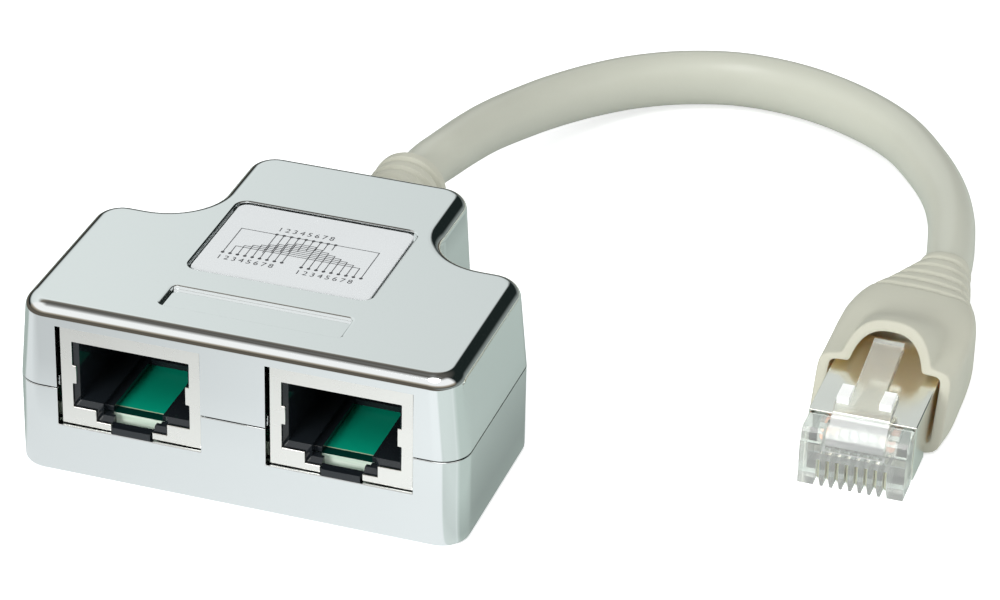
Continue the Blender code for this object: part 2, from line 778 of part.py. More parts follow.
def jack_contacts(side, centre):
    """Eight spring wires: sloping down into the cavity from a bend at its front, back
    along the roof trough and down behind the insert to the board."""
    near = FRONT + SHIELD_SET_BACK + SHIELD_SHEET + SLIM_FIT
    bend_front = near + 2 * LEAD_IN + FIT + CONTACT_RADIUS
    roof_line = MOUTH_TOP - LEAD_IN + CONTACT_TROUGH - FIT - CONTACT_RADIUS
    tail = FRONT + SHIELD_SET_BACK + CAVITY_DEPTH + INSERT_BACK_WALL
    tail += FIT + CONTACT_RADIUS
    tip = (FRONT + CONTACT_TIP_DEPTH, MOUTH_TOP - CONTACT_TIP_DROP)
    bend = CONTACT_BEND
    profile = [
        tip,
        (bend_front + 0.9 * bend, roof_line - 2.2 * bend),
        (bend_front + 0.15 * bend, roof_line - 1.5 * bend),
        (bend_front + 0.15 * bend, roof_line - 0.6 * bend),
        (bend_front + bend, roof_line),
        (tail - bend, roof_line),
        (tail - 0.3 * bend, roof_line - 0.3 * bend),
        (tail, roof_line - bend),
        (tail, BOARD_TOP + FIT),
    ]
    for i in range(CONTACT_COUNT):
        x = centre + contact_place(i) * CONTACT_PITCH
        points = [Vector((x, y, z)) for y, z in profile]
        wire = tube(f"{side}_jack_contact_{i + 1}", points, CONTACT_RADIUS, 1)
        finish(wire, (0.85, 0.62, 0.25), 0.2, 1.0)


# Strain relief and cord


def strain_relief():
    """Moulded on the cord: a flange inside the neck, a groove that the wall sits in and
    a ringed sleeve outside."""
    wall_outside = BACK + FIT
    wall_inside = BACK - WALL - FIT
    groove = RELIEF_RADIUS - RELIEF_GROOVE
    outline = [
        (wall_inside - RELIEF_FLANGE_LENGTH, RELIEF_FLANGE),
        (wall_inside, RELIEF_FLANGE),
        (wall_inside, RELIEF_RADIUS),
        (wall_outside, RELIEF_RADIUS),
        (wall_outside, RELIEF_RADIUS + RELIEF_GROOVE),
    ]
    ring_count = int((RELIEF_LENGTH - FIT) / RELIEF_RING_PITCH)
    start = RELIEF_END - ring_count * RELIEF_RING_PITCH
    outline.append((start, RELIEF_RADIUS + RELIEF_GROOVE))
    for k in range(ring_count):
        place = start + k * RELIEF_RING_PITCH
        outline += [
            (place + 0.1 * RELIEF_RING_PITCH, groove),
            (place + 0.3 * RELIEF_RING_PITCH, groove),
            (place + 0.42 * RELIEF_RING_PITCH, RELIEF_RADIUS - RELIEF_RING_SOFTENING),
            (place + 0.65 * RELIEF_RING_PITCH, RELIEF_RADIUS),
            (place + 0.9 * RELIEF_RING_PITCH, RELIEF_RADIUS - RELIEF_RING_SOFTENING),
        ]
    outline.append((RELIEF_END, groove))
    relief = turned("strain_relief", outline, CORD_HEIGHT, 20)
    return finish(relief, (0.55, 0.54, 0.45), 0.5)


def cable():
    """The short cord between the strain relief and the plug's boot."""
    straight = Vector((0, 1 * MM, 0))
    points = smooth_route(CORD_ROUTE, 2 * CORD_DIAMETER)
    points.insert(1, points[0] + straight)
    points.insert(-1, points[-1] + straight)
    cord = tube("cable", points, CORD_DIAMETER / 2, 3)
    return finish(cord, (0.50, 0.50, 0.42), 0.45)


# Plug


def lever_top(y):
    """Height of the latch's top, rising in a straight line from its root to its tip."""
    share = (y - NOSE_LENGTH) / (LATCH_LENGTH - NOSE_LENGTH)
    low = PLUG_HEIGHT + FIT + LATCH_THICKNESS
    return low + (PLUG_HEIGHT + LATCH_RISE - low) * share


def plug_sides(name, inner, outer, start, end, low, high):
    """A pair of blocks, one on each side of the plug's middle."""
    pair = []
    for side, label in ((-1, "left"), (1, "right")):
        edges = sorted((PLUG_X + side * inner, PLUG_X + side * outer))
        near = (edges[0], PLUG_FRONT + start, low)
        far = (edges[1], PLUG_FRONT + end, high)
        pair.append(block(f"{name}_{label}", near, far))
    return pair


def plug_latch():
    """The latch seen from the side: a root on the nose and a lever that rises back."""
    root_low = PLUG_HEIGHT - PLUG_SHEET - FIT
    outline = (
        (NOSE_LENGTH, lever_top(NOSE_LENGTH)),
        (LATCH_LENGTH, lever_top(LATCH_LENGTH)),
        (LATCH_LENGTH, lever_top(LATCH_LENGTH) - LATCH_THICKNESS),
        (NOSE_LENGTH, lever_top(NOSE_LENGTH) - LATCH_THICKNESS),
        (LATCH_ROOT_END + FIT, PLUG_HEIGHT),
        (LATCH_ROOT_END, root_low),
        (LATCH_ROOT_START, root_low),
        (LATCH_ROOT_START + FIT, root_low + 2 * FIT),
        ((LATCH_ROOT_END + LATCH_ROOT_START) / 2, lever_top(NOSE_LENGTH) - FIT),
    )
    placed = [(PLUG_FRONT + y, z) for y, z in outline]
    return side_prism("latch", placed, LATCH_WIDTH / 2, PLUG_X)


def plug_body():
    """Clear moulding: nose with the contact comb, a smaller body that the shield wraps,
    a channel for the wires and the latch, all in one piece."""
    half = PLUG_WIDTH / 2 - PLUG_SHEET - FIT
    top = PLUG_HEIGHT - PLUG_SHEET - FIT
    nose_top = PLUG_HEIGHT - PLUG_SHEET
    front = PLUG_FRONT
    join = front + NOSE_LENGTH
    overlap = front + NOSE_LENGTH / 2
    tail = front + PLUG_LENGTH
    nose_outline = (
        (front, 0.0),
        (join, 0.0),
        (join, nose_top),
        (front + NOSE_STEP + NOSE_SOFTENING, nose_top),
        (front + NOSE_STEP, nose_top - NOSE_SOFTENING),
        (front + NOSE_STEP, NOSE_FACE_HEIGHT),
        (front, NOSE_FACE_HEIGHT),
    )
    body_outline = (
        (overlap, PLUG_SHEET + FIT),
        (PLUG_RAISED_START, PLUG_SHEET + FIT),
        (PLUG_RAISED_START, PLUG_RAISED_FLOOR),
        (tail, PLUG_RAISED_FLOOR),
        (tail, top),
        (overlap, top),
    )
    body = side_prism("plug_body", body_outline, half, PLUG_X)
    nose = side_prism("plug_nose", nose_outline, NOSE_WIDTH / 2, PLUG_X)
    boolean(body, nose, "UNION")
    boolean(body, plug_latch(), "UNION")
    beside = plug_sides(
        "beside_lever",
        LEVER_WIDTH / 2,
        LATCH_WIDTH,
        LATCH_SHOULDER,
        LATCH_LENGTH + FIT,
        PLUG_HEIGHT,
        PLUG_HEIGHT + 2 * LATCH_RISE,
    )
    for cutter in beside:
        boolean(body, cutter)
    catch_start = LATCH_SHOULDER - LATCH_CATCH_LENGTH
    catches = plug_sides(
        "latch_catch",
        LEVER_WIDTH / 2,
        LATCH_WIDTH / 2 - SLIM_FIT,
        catch_start,
        LATCH_SHOULDER - SLIM_FIT,
        lever_top(catch_start) - LATCH_THICKNESS / 2,
        lever_top(LATCH_SHOULDER) + FIT,
    )
    for catch in catches:
        boolean(body, catch, "UNION")

    slot_top = FIT + BLADE_HEIGHT + FIT
    slot_end = front + BLADE_LENGTH + 4 * FIT
    for i in range(CONTACT_COUNT):
        x = PLUG_X + contact_place(i) * CONTACT_PITCH
        outline = (
            (x - TOOTH_SLOT_BOTTOM / 2, -FIT),
            (x + TOOTH_SLOT_BOTTOM / 2, -FIT),
            (x + TOOTH_SLOT_TOP / 2, slot_top),
            (x - TOOTH_SLOT_TOP / 2, slot_top),
        )
        boolean(body, front_prism(f"contact_slot_{i + 1}", outline, front - FIT, slot_end))

    channel_half = CONTACT_COUNT * CONTACT_PITCH / 2 + SLIM_FIT
    channel_high = WIRE_CHANNEL_FLOOR + 2 * WIRE_RADIUS + 2 * FIT
    channel = block(
        "wire_channel",
        (PLUG_X - channel_half, join - 2 * FIT, WIRE_CHANNEL_FLOOR),
        (PLUG_X + channel_half, tail + FIT, channel_high),
    )
    boolean(body, channel)
    return finish(body, (0.80, 0.82, 0.80), 0.12)


def plug_wires():
    """The cord's eight wires, side by side in the plug's channel."""
    height = WIRE_CHANNEL_FLOOR + FIT + WIRE_RADIUS
    start = PLUG_FRONT + NOSE_LENGTH - FIT
    end = PLUG_FRONT + PLUG_LENGTH - FIT
    for i, tint in enumerate(WIRE_TINTS):
        x = PLUG_X + contact_place(i) * CONTACT_PITCH
        ends = [Vector((x, y, height)) for y in (start, end)]
        wire = tube(f"plug_wire_{i + 1}", ends, WIRE_RADIUS, 2)
        finish(wire, tint, 0.45)


def plug_contacts():
    """Eight gold-plated blades standing in the comb's slots."""
    front = PLUG_FRONT + 2 * FIT
    top = FIT + BLADE_HEIGHT
    outline = (
        (front + BLADE_ROUND, FIT),
        (front + BLADE_LENGTH, FIT),
        (front + BLADE_LENGTH, top - BLADE_ROUND),
        (front + BLADE_LENGTH - BLADE_ROUND, top),
        (front, top),
        (front, FIT + BLADE_ROUND),
    )
    for i in range(CONTACT_COUNT):
        x = PLUG_X + contact_place(i) * CONTACT_PITCH
        blade = side_prism(f"plug_contact_{i + 1}", outline, BLADE_THICKNESS / 2, x)
        finish(blade, (0.85, 0.62, 0.25), 0.2, 1.0)


def plug_shield():
    """Folded sheet over the plug's back and sides, open below."""
    near = PLUG_FRONT + NOSE_LENGTH + FIT
    far = BOOT_START + SHIELD_TUCK
    half = PLUG_WIDTH / 2
    outline = (
        (near, PLUG_SHEET),
        (PLUG_RAISED_START, PLUG_SHEET),
        (PLUG_RAISED_START, PLUG_RAISED_FLOOR),
        (far, PLUG_RAISED_FLOOR),
        (far, PLUG_HEIGHT),
        (near, PLUG_HEIGHT),
    )
    shield = side_prism("plug_shield", outline, half, PLUG_X)
    inside = block(
        "plug_shield_inside",
        (PLUG_X - half + PLUG_SHEET, near - FIT, -FIT),
        (PLUG_X + half - PLUG_SHEET, far + FIT, PLUG_HEIGHT - PLUG_SHEET),
    )
    boolean(shield, inside)
    return finish(shield, (0.72, 0.72, 0.68), 0.25, 1.0)


# Boot


def boot_section(distance):
    """The boot's section at a distance behind its rim, in metres, read smoothly from
    the table, with how far it leans back where it crosses the rim."""
    spans = len(BOOT_SECTIONS) - 1
    place = distance / BOOT_LENGTH * spans
    index = min(max(int(place), 0), spans - 1)
    rows = [
        BOOT_SECTIONS[min(max(index + step, 0), spans)] for step in (-1, 0, 1, 2)
    ]
    values = [smooth_between(*column, place - index) for column in zip(*rows)]
    sizes = [value * MM for value in values[:6]]
    lean = BOOT_LEAN * max(0.0, 1 - distance / BOOT_LEAN_DEPTH)
    return (*sizes, *values[6:], lean)


def boot_ring(distance, section, inset=0.0):
    """A ring of points: a soft-cornered box with the hood's arch blended over it."""
    width, top, bottom, hood_width, hood_top, drift, squareness, slew, lean = section
    count = 48
    middle = (top + bottom) / 2
    width -= inset
    height = (top - bottom) / 2 - inset
    arch_width = hood_width - inset
    arch_height = hood_top - middle - inset
    points = []
    for i in range(count):
        angle = 2 * math.pi * (i + 0.5) / count
        across = abs(math.cos(angle))
        up = abs(math.sin(angle))
        box = (across / width) ** squareness + (up / height) ** squareness
        reach = box ** (-1 / squareness)
        if math.sin(angle) > 0:
            arch = (across / arch_width) ** HOOD_SQUARENESS
            arch += (up / arch_height) ** HOOD_SQUARENESS
            arch = arch ** (-1 / HOOD_SQUARENESS)
            reach = (reach**HOOD_BLEND + arch**HOOD_BLEND) ** (1 / HOOD_BLEND)
        x = reach * math.cos(angle)
        z = middle + reach * math.sin(angle)
        y = BOOT_START + distance + lean * z - slew * x
        points.append((PLUG_X + drift + x, y, z))
    return points


def boot_hollow():
    """The rings of the boot's inside, from the end of the plug out to the rim, one wall
    in from the hood all the way."""
    width = PLUG_WIDTH / 2 + FIT
    bottom = BOOT_FLOOR + SLIM_FIT
    top = BOOT_HEIGHT - BOOT_FLOOR + SLIM_FIT
    end = PLUG_FRONT + PLUG_LENGTH + FIT - BOOT_START
    places = [(end * k / 4, 0.0) for k in (4, 3, 2, 1)]
    rings = []
    for distance, spread in (*places, (BOOT_RIM_ROUND, 0.0), (0.0, SLIM_FIT)):
        _, _, _, hood_width, hood_top, _, _, slew, lean = boot_section(distance)
        box = (width + spread, top, bottom)
        arch = (hood_width - BOOT_WALL, hood_top - BOOT_WALL)
        section = (*box, *arch, 0.0, HOLLOW_SQUARENESS, slew, lean)
        rings.append(boot_ring(distance, section))
    return rings


def plug_boot():
    """Soft moulding: a box round the plug's back, a hood over the lever, and a tail
    that tapers in ribs to the cord."""
    rings = boot_hollow()
    rings.append(boot_ring(0.0, boot_section(0.0), BOOT_RIM_ROUND))
    rings.append(boot_ring(BOOT_RIM_ROUND, boot_section(BOOT_RIM_ROUND)))
    ribs_start = BOOT_LENGTH - BOOT_RIB_COUNT * BOOT_RIB_PITCH
    plain_rings = 9
    for k in range(1, plain_rings + 1):
        distance = ribs_start * k / plain_rings
        rings.append(boot_ring(distance, boot_section(distance)))
    for k in range(BOOT_RIB_COUNT):
        start = ribs_start + k * BOOT_RIB_PITCH
        for share, inset in ((0.12, 1), (0.30, 1), (0.48, 0), (0.88, 0)):
            distance = start + share * BOOT_RIB_PITCH
            section = boot_section(distance)
            rings.append(boot_ring(distance, section, inset * BOOT_RIB_HEIGHT))
    end = boot_section(BOOT_LENGTH)
    rings.append(boot_ring(BOOT_LENGTH, end, BOOT_RIB_HEIGHT / 2))
    return finish(loft("plug_boot", rings), (0.55, 0.54, 0.45), 0.5)


def build():
    clear_scene()
    lower_shell()
    upper_shell()
    wiring_label()
    circuit_board()
    cable_inner_end()
    for side, sign in (("left", -1), ("right", 1)):
        centre = sign * JACK_PITCH / 2
        jack_shield(side, centre)
        jack_body(side, centre)
        jack_contacts(side, centre)
    strain_relief()
    cable()
    plug_body()
    plug_wires()
    plug_contacts()
    plug_shield()
    plug_boot()


build()
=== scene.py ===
"""Looks for the network splitter adapter: plated T housing, two jacks, cord and plug."""

import math

import bmesh
import bpy
from mathutils import Matrix, Vector


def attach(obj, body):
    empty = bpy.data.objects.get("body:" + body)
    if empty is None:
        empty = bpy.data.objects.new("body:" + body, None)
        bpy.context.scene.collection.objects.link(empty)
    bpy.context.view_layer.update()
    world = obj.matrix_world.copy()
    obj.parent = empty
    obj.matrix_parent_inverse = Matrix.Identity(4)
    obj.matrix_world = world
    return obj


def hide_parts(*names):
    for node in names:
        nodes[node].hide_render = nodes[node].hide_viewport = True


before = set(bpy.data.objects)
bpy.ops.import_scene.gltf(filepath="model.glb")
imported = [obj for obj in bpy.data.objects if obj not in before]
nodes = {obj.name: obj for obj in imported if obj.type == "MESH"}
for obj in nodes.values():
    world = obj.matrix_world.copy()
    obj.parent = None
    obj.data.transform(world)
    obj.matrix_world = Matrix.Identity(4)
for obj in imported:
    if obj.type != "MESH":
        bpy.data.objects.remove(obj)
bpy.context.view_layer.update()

# Camera. A longer lens from the front right and above, as the product was shot. The
# small shift centres the picture on the pair of jacks and the plug together.
mm = 0.001


def add_object(name, data):
    """A new object in the scene."""
    item = bpy.data.objects.new(name, data)
    bpy.context.collection.objects.link(item)
    return item


lens_data = bpy.data.cameras.new("product_camera")
lens_data.lens = 143.951
lens_data.sensor_width = 36
lens_data.shift_x = 0.01532
lens_data.shift_y = -0.01744
lens_data.clip_start = 0.01
lens_data.clip_end = 20
product_camera = add_object("product_camera", lens_data)
camera_place = Vector((129.47, -338.2, 223.13)) * mm
camera_turn = Matrix(
    (
        (0.94788, -0.17323, 0.26744),
        (0.3181, 0.46548, -0.82592),
        (0.01859, 0.86794, 0.49632),
    )
)
product_camera.matrix_world = Matrix.Translation(camera_place) @ camera_turn.to_4x4()
bpy.context.scene.camera = product_camera

# Cord. A short, slightly oval patch lead in grey-beige vinyl. It leaves the moulded
# sleeve on the neck, sags to the table, turns round behind the housing and comes back
# forward into the plug's boot.
cord_half_width = 2.68 * mm
cord_half_height = 2.72 * mm
cord_swell = 0.68 * mm
cord_lift = 0.2 * mm
end_clearance = 1.6 * mm
cord_points = (
    (0.0, 34.5, 10.15),
    (0.2, 39.0, 10.1),
    (0.9, 43.0, 9.8),
    (1.6, 48.6, 9.0),
    (2.6, 54.4, 8.1),
    (4.2, 60.9, 6.9),
    (6.3, 67.0, 5.9),
    (9.4, 73.4, 4.9),
    (13.4, 79.0, 4.1),
    (18.6, 83.0, 3.65),
    (25.1, 85.2, 3.45),
    (32.6, 84.7, 3.4),
    (40.0, 81.8, 3.4),
    (46.4, 77.0, 3.5),
    (51.3, 70.5, 3.6),
    (54.6, 64.4, 3.8),
    (56.8, 58.2, 4.0),
    (58.1, 52.4, 4.05),
    (58.75, 48.4, 4.05),
    (58.88, 46.15, 4.05),
)


def smooth_between(a, b, c, d, t):
    """A smooth curve through four evenly spaced values, read between the middle two."""
    square = 2 * a - 5 * b + 4 * c - d
    cube = 3 * b - a - 3 * c + d
    return 0.5 * (2 * b + (c - a) * t + square * t**2 + cube * t**3)


def smooth_path(route, parts):
    """Points along a smooth curve through the route's own points."""
    points = []
    padded = [2 * route[0] - route[1], *route, 2 * route[-1] - route[-2]]
    for a, b, c, d in zip(padded, padded[1:], padded[2:], padded[3:]):
        for k in range(parts):
            points.append(smooth_between(a, b, c, d, k / parts))
    points.append(route[-1])
    return points


def finish_mesh(name, shape, crease=40):
    """Turns a bmesh into an object of the part, smooth except over sharp creases."""
    bmesh.ops.recalc_face_normals(shape, faces=shape.faces)
    mesh = bpy.data.meshes.new(name)
    shape.to_mesh(mesh)
    shape.free()
    mesh.shade_smooth()
    mesh.set_sharp_from_angle(angle=math.radians(crease))
    return add_object(name, mesh)


def skin(name, rings, crease=40):
    """A closed body through rings of points, flat at both ends."""
    shape = bmesh.new()
    loops = [[shape.verts.new(point) for point in ring] for ring in rings]
    count = len(loops[0])
    for lower, upper in zip(loops, loops[1:]):
        for i in range(count):
            j = (i + 1) % count
            shape.faces.new((lower[i], lower[j], upper[j], upper[i]))
    shape.faces.new(loops[0])
    shape.faces.new(loops[-1])
    return finish_mesh(name, shape, crease)


def dress(piece, node, slot, *materials):
    """Gives a piece its finish and body, and hides the solid it stands for. The slot is not used.
    """
    piece.data.materials.clear()
    for material in materials:
        piece.data.materials.append(material)
    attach(piece, "root")
    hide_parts(node)


def fill(tree, node, **links):
    """Wires or fills a node's inputs. An input is given by name, or as an underscore
    and its number."""
    for key, value in links.items():
        label = int(key[1:]) if key[0] == "_" else key.replace("_", " ")
        if isinstance(value, bpy.types.NodeSocket):
            tree.links.new(value, node.inputs[label])
        else:
            node.inputs[label].default_value = value


def add_node(tree, kind, settings=(), **links):
    """Adds a node, sets its plain properties and fills its inputs."""
    node = tree.nodes.new("ShaderNode" + kind)
    for key, value in dict(settings).items():
        setattr(node, key, value)
    fill(tree, node, **links)
    return node


def calculate(tree, operation, *values, kind="Math", **links):
    """The result of one step of arithmetic on numbers, or on vectors."""
    links.update({f"_{i}": value for i, value in enumerate(values)})
    return add_node(tree, kind, {"operation": operation}, **links).outputs[0]


def noise(tree, place, scale, detail):
    """Soft random clouds, as a number about 0.5."""
    node = add_node(tree, "TexNoise", Vector=place, Scale=scale, Detail=detail)
    return node.outputs["Fac"]


def bumped(tree, height, strength, depth):
    """A normal that follows a height, over a depth in millimetres."""
    distance = depth * mm
    node = add_node(tree, "Bump", Height=height, Strength=strength, Distance=distance)
    return node.outputs["Normal"]


def object_place(tree):
    """The place on the piece itself."""
    return add_node(tree, "TexCoord").outputs["Object"]


def new_group(name, inputs, outputs):
    """An empty shader node group with its named sockets."""
    group = bpy.data.node_groups.new(name, "ShaderNodeTree")
    for label, kind, value in inputs:
        socket = group.interface.new_socket(label, in_out="INPUT", socket_type=kind)
        socket.default_value = value
    for label, kind in outputs:
        group.interface.new_socket(label, in_out="OUTPUT", socket_type=kind)
    return group, group.nodes.new("NodeGroupInput"), group.nodes.new("NodeGroupOutput")


def moulding_group():
    """Soft or hard moulded plastic: faint clouding of the colour and a fine grain."""
    group, source, sink = new_group(
        "moulded_skin",
        (
            ("Colour", "NodeSocketColor", (0.5, 0.5, 0.5, 1)),
            ("Clouding", "NodeSocketFloat", 0.06),
            ("Grain Scale", "NodeSocketFloat", 2500.0),
            ("Roughness", "NodeSocketFloat", 0.4),
        ),
        (
            ("Colour", "NodeSocketColor"),
            ("Roughness", "NodeSocketFloat"),
            ("Height", "NodeSocketFloat"),
        ),
    )
    place = object_place(group)
    cloud = calculate(group, "SUBTRACT", noise(group, place, 140.0, 4.0), 0.5)
    grain = noise(group, place, source.outputs["Grain Scale"], 3.0)
    shade = calculate(group, "MULTIPLY_ADD", cloud, source.outputs["Clouding"], 1.0)
    colour = source.outputs["Colour"]
    tint = calculate(group, "SCALE", colour, kind="VectorMath", Scale=shade)
    rough = calculate(group, "MULTIPLY_ADD", grain, 0.1, source.outputs["Roughness"])
    fill(group, sink, Colour=tint, Roughness=rough, Height=grain)
    return group


moulded_skin = moulding_group()


def new_material(name):
    """A new material, its node tree and its main shader."""
    material = bpy.data.materials.new(name)
    material.use_nodes = True
    tree = material.node_tree
    return material, tree, tree.nodes["Principled BSDF"]


def grained(name, group, strength, depth, **links):
    """A new material that takes its gloss and its fine relief from a group."""
    material, tree, shader = new_material(name)
    surface = add_node(tree, "Group", {"node_tree": group}, **links).outputs
    normal = bumped(tree, surface["Height"], strength, depth)
    fill(tree, shader, Roughness=surface["Roughness"], Normal=normal)
    return material, tree, shader, surface


def moulded(name, colour, roughness, clouding, grain=2500.0, depth=0.02):
    """A moulded plastic with its own colour, gloss and depth of grain."""
    look = {"Colour": (*colour, 1), "Roughness": roughness, "Grain_Scale": grain}
    surface = grained(name, moulded_skin, 0.25, depth, Clouding=clouding, **look)
    material, tree, shader, outputs = surface
    fill(tree, shader, Base_Color=outputs["Colour"], IOR=1.5)
    return material


def circle(count):
    """Cosines and sines at even steps round a circle."""
    angles = [2 * math.pi * i / count for i in range(count)]
    return [(math.cos(angle), math.sin(angle)) for angle in angles]


def cord_rings(path, steps):
    """Oval sections across the path, tallest at the middle of the turn."""
    rings = []
    last = len(path) - 1
    for i, point in enumerate(path):
        ahead = (path[min(i + 1, last)] - path[max(i - 1, 0)]).normalized()
        side = ahead.cross(Vector((0, 0, 1))).normalized()
        swell = math.sin(math.pi * i / last) ** 1.5
        across = side * cord_half_width
        up = side.cross(ahead) * (cord_half_height + cord_swell * swell)
        centre = point + Vector((0, 0, cord_lift * swell))
        rings.append([centre + across * c + up * s for c, s in circle(steps)])
    return rings


cord_curve = smooth_path([Vector(point) * mm for point in cord_points], 8)
cord_start = cord_curve[0]
cord_end = cord_curve[-1]
straight_end = Vector((0, 1 * mm, 0))
cord_path = [
    point
    for point in cord_curve
    if min((point - cord_start).length, (point - cord_end).length) > end_clearance
]
cord_path = [cord_start, cord_start + straight_end, *cord_path, cord_end + straight_end, cord_end]
patch_cord = skin("patch_cord", cord_rings(cord_path, 48))
cord_vinyl = moulded("cord_vinyl", (0.49, 0.50, 0.425), 0.27, 0.05)
dress(patch_cord, "cable", "cord_jacket", cord_vinyl)

# Moulded sleeve. The strain relief is overmoulded on the cord: a flange that the two
# shells trap, then soft rings that let the cord bend where it leaves the neck.
neck_back = 19.6
sleeve_end = 34.1
sleeve_height = 10.15
sleeve_radius = 4.25
sleeve_bore = 2.0
flange_radius = 5.3
sleeve_groove = 0.55
ring_count = 6
ring_pitch = 2.1


def turned(name, profile, height, steps):
    """A profile of (y, radius) pairs in millimetres turned about a line along Y."""
    rings = []
    for y, radius in profile:
        points = [(radius * c, y, height + radius * s) for c, s in circle(steps)]
        rings.append([Vector(point) * mm for point in points])
    return skin(name, rings)


def sleeve_profile():
    """Flange, wall groove, collar and the soft rings with narrow grooves between."""
    collar = sleeve_radius + sleeve_groove
    profile = [
        (neck_back - 3.55, sleeve_bore),
        (neck_back - 3.55, flange_radius - 0.1),
        (neck_back - 3.4, flange_radius),
        (neck_back - 1.65, flange_radius),
        (neck_back - 1.65, sleeve_radius),
        (neck_back + 0.3, sleeve_radius),
        (neck_back + 0.3, collar - 0.1),
        (neck_back + 0.4, collar),
        (neck_back + 1.7, collar),
        (neck_back + 1.85, collar - 0.12),
    ]
    start = sleeve_end - ring_count * ring_pitch
    steps = 16
    for k in range(ring_count * steps):
        share = (k % steps) / steps
        groove = max(0.0, 1 - abs(share - 0.2) / 0.2) ** 0.7
        crown = 0.08 * (2 * share - 1.2) ** 2
        radius = sleeve_radius - sleeve_groove * groove - crown
        profile.append((start + k / steps * ring_pitch, radius))
    profile.append((sleeve_end - 0.12, sleeve_radius - 0.2))
    profile.append((sleeve_end, sleeve_radius - 0.5))
    profile.append((sleeve_end, sleeve_bore))
    return profile


cord_sleeve = turned("cord_sleeve", sleeve_profile(), sleeve_height, 72)
boot_vinyl = moulded("boot_vinyl", (0.49, 0.49, 0.405), 0.42, 0.08, 1800.0, 0.03)
dress(cord_sleeve, "strain_relief", "soft_moulding", boot_vinyl)

# Boot. One soft moulding pushed over the back of the plug: a thin-walled box, a hood
# that keeps the latch from snagging, and a tail with five ribs that narrows to the cord.
plug_x = 58.43
boot_start = 14.45
boot_length = 31.4
boot_lean = 0.55
lean_depth = 14
hood_squareness = 2.6
hood_blend = 30
hollow_squareness = 14.0
rib_count = 5
rib_pitch = 2.25
boot_sections = (
    (7.20, 7.95, 0.15, 5.20, 11.65, 0.00, 8.0, 0.00),
    (7.40, 7.95, 0.15, 5.25, 11.20, 0.20, 8.0, 0.00),
    (7.40, 8.05, 0.15, 5.40, 10.30, 0.20, 8.0, 0.00),
    (7.40, 8.20, 0.15, 5.60, 9.30, 0.18, 7.0, 0.00),
    (7.20, 8.35, 0.20, 5.50, 8.60, 0.12, 6.0, 0.03),
    (6.40, 8.15, 0.40, 4.60, 8.20, 0.08, 5.0, 0.08),
    (4.95, 7.65, 0.70, 3.60, 7.70, 0.20, 4.0, 0.12),
    (3.95, 7.25, 0.95, 3.05, 7.30, 0.33, 2.9, 0.08),
    (2.95, 7.00, 1.10, 2.95, 7.00, 0.45, 2.0, 0.00),
)
boot_wall = 1.0
hollow_depth = 12.3
hollow_half = 6.05
hollow_top = 7.35
hollow_bottom = 1.05


def boot_section(distance):
    """The boot's section at a distance behind its rim, in millimetres."""
    spans = len(boot_sections) - 1
    place = distance / boot_length * spans
    index = min(max(int(place), 0), spans - 1)
    rows = [boot_sections[min(max(index + step, 0), spans)] for step in (-1, 0, 1, 2)]
    return [smooth_between(*column, place - index) for column in zip(*rows)]


def soft_box(across, up, squareness):
    """How far a soft-cornered box reaches in a direction."""
    return (across**squareness + up**squareness) ** (-1 / squareness)


def boot_ring(distance, section, inset=0.0):
    """A ring round a soft-cornered box with the hood's arch blended over it."""
    width, top, bottom, hood_width, hood_top, drift, squareness, slew = section
    count = 144
    middle = (top + bottom) / 2
    width -= inset
    height = (top - bottom) / 2 - inset
    arch_width = hood_width - inset
    arch_height = hood_top - middle - inset
    lean = boot_lean * max(0.0, 1 - distance / lean_depth)
    points = []
    for i in range(count):
        angle = 2 * math.pi * (i + 0.5) / count
        across = abs(math.cos(angle))
        up = abs(math.sin(angle))
        reach = soft_box(across / width, up / height, squareness)
        if math.sin(angle) > 0:
            arch = soft_box(across / arch_width, up / arch_height, hood_squareness)
            reach = (reach**hood_blend + arch**hood_blend) ** (1 / hood_blend)
        x = reach * math.cos(angle)
        z = middle + reach * math.sin(angle)
        y = boot_start + distance + lean * z - slew * x
        points.append(Vector((plug_x + drift + x, y, z)) * mm)
    return points


def rib_inset(distance):
    """How deep the groove is before each rib, with soft shoulders."""
    start = boot_length - rib_count * rib_pitch
    if distance < start:
        return 0.0
    share = ((distance - start) / rib_pitch) % 1.0
    groove = max(0.0, 1 - abs(share - 0.18) / 0.26)
    return 0.42 * groove * groove * (3 - 2 * groove)


def hollow_section(distance):
    """The section of the boot's inside, one wall in from the hood all the way."""
    _, _, _, hood_width, hood_top, _, _, slew = boot_section(distance)
    arch = (hood_width - boot_wall, hood_top - boot_wall)
    return (hollow_half, hollow_top, hollow_bottom, *arch, 0.0, hollow_squareness, slew)


def boot_rings():
    """From the cavity's back wall out to the rim, over it and back to the tail, and how
    many of the rings lie inside."""
    outside = boot_section(0.0)
    inside = hollow_section(0.0)
    rings = []
    inner_rings = 14
    for k in range(inner_rings):
        distance = hollow_depth - (hollow_depth - 0.3) * k / (inner_rings - 1)
        rings.append(boot_ring(distance, hollow_section(distance)))
    rim = ((0.0, 0.12), (0.1, 0.02), (0.3, 0.0), (0.8, 0.0), (0.93, 0.05), (1.0, 0.25))
    for share, back in rim:
        blend = [b + (a - b) * share for a, b in zip(outside, inside)]
        rings.append(boot_ring(back, blend))
    distance = 0.6
    while distance < boot_length - 0.2:
        rings.append(boot_ring(distance, boot_section(distance), rib_inset(distance)))
        distance += 0.22 if distance > 19 else 0.6
    end = boot_section(boot_length)
    rings.append(boot_ring(boot_length - 0.1, end, 0.05))
    rings.append(boot_ring(boot_length, end, 0.2))
    return rings, inner_rings


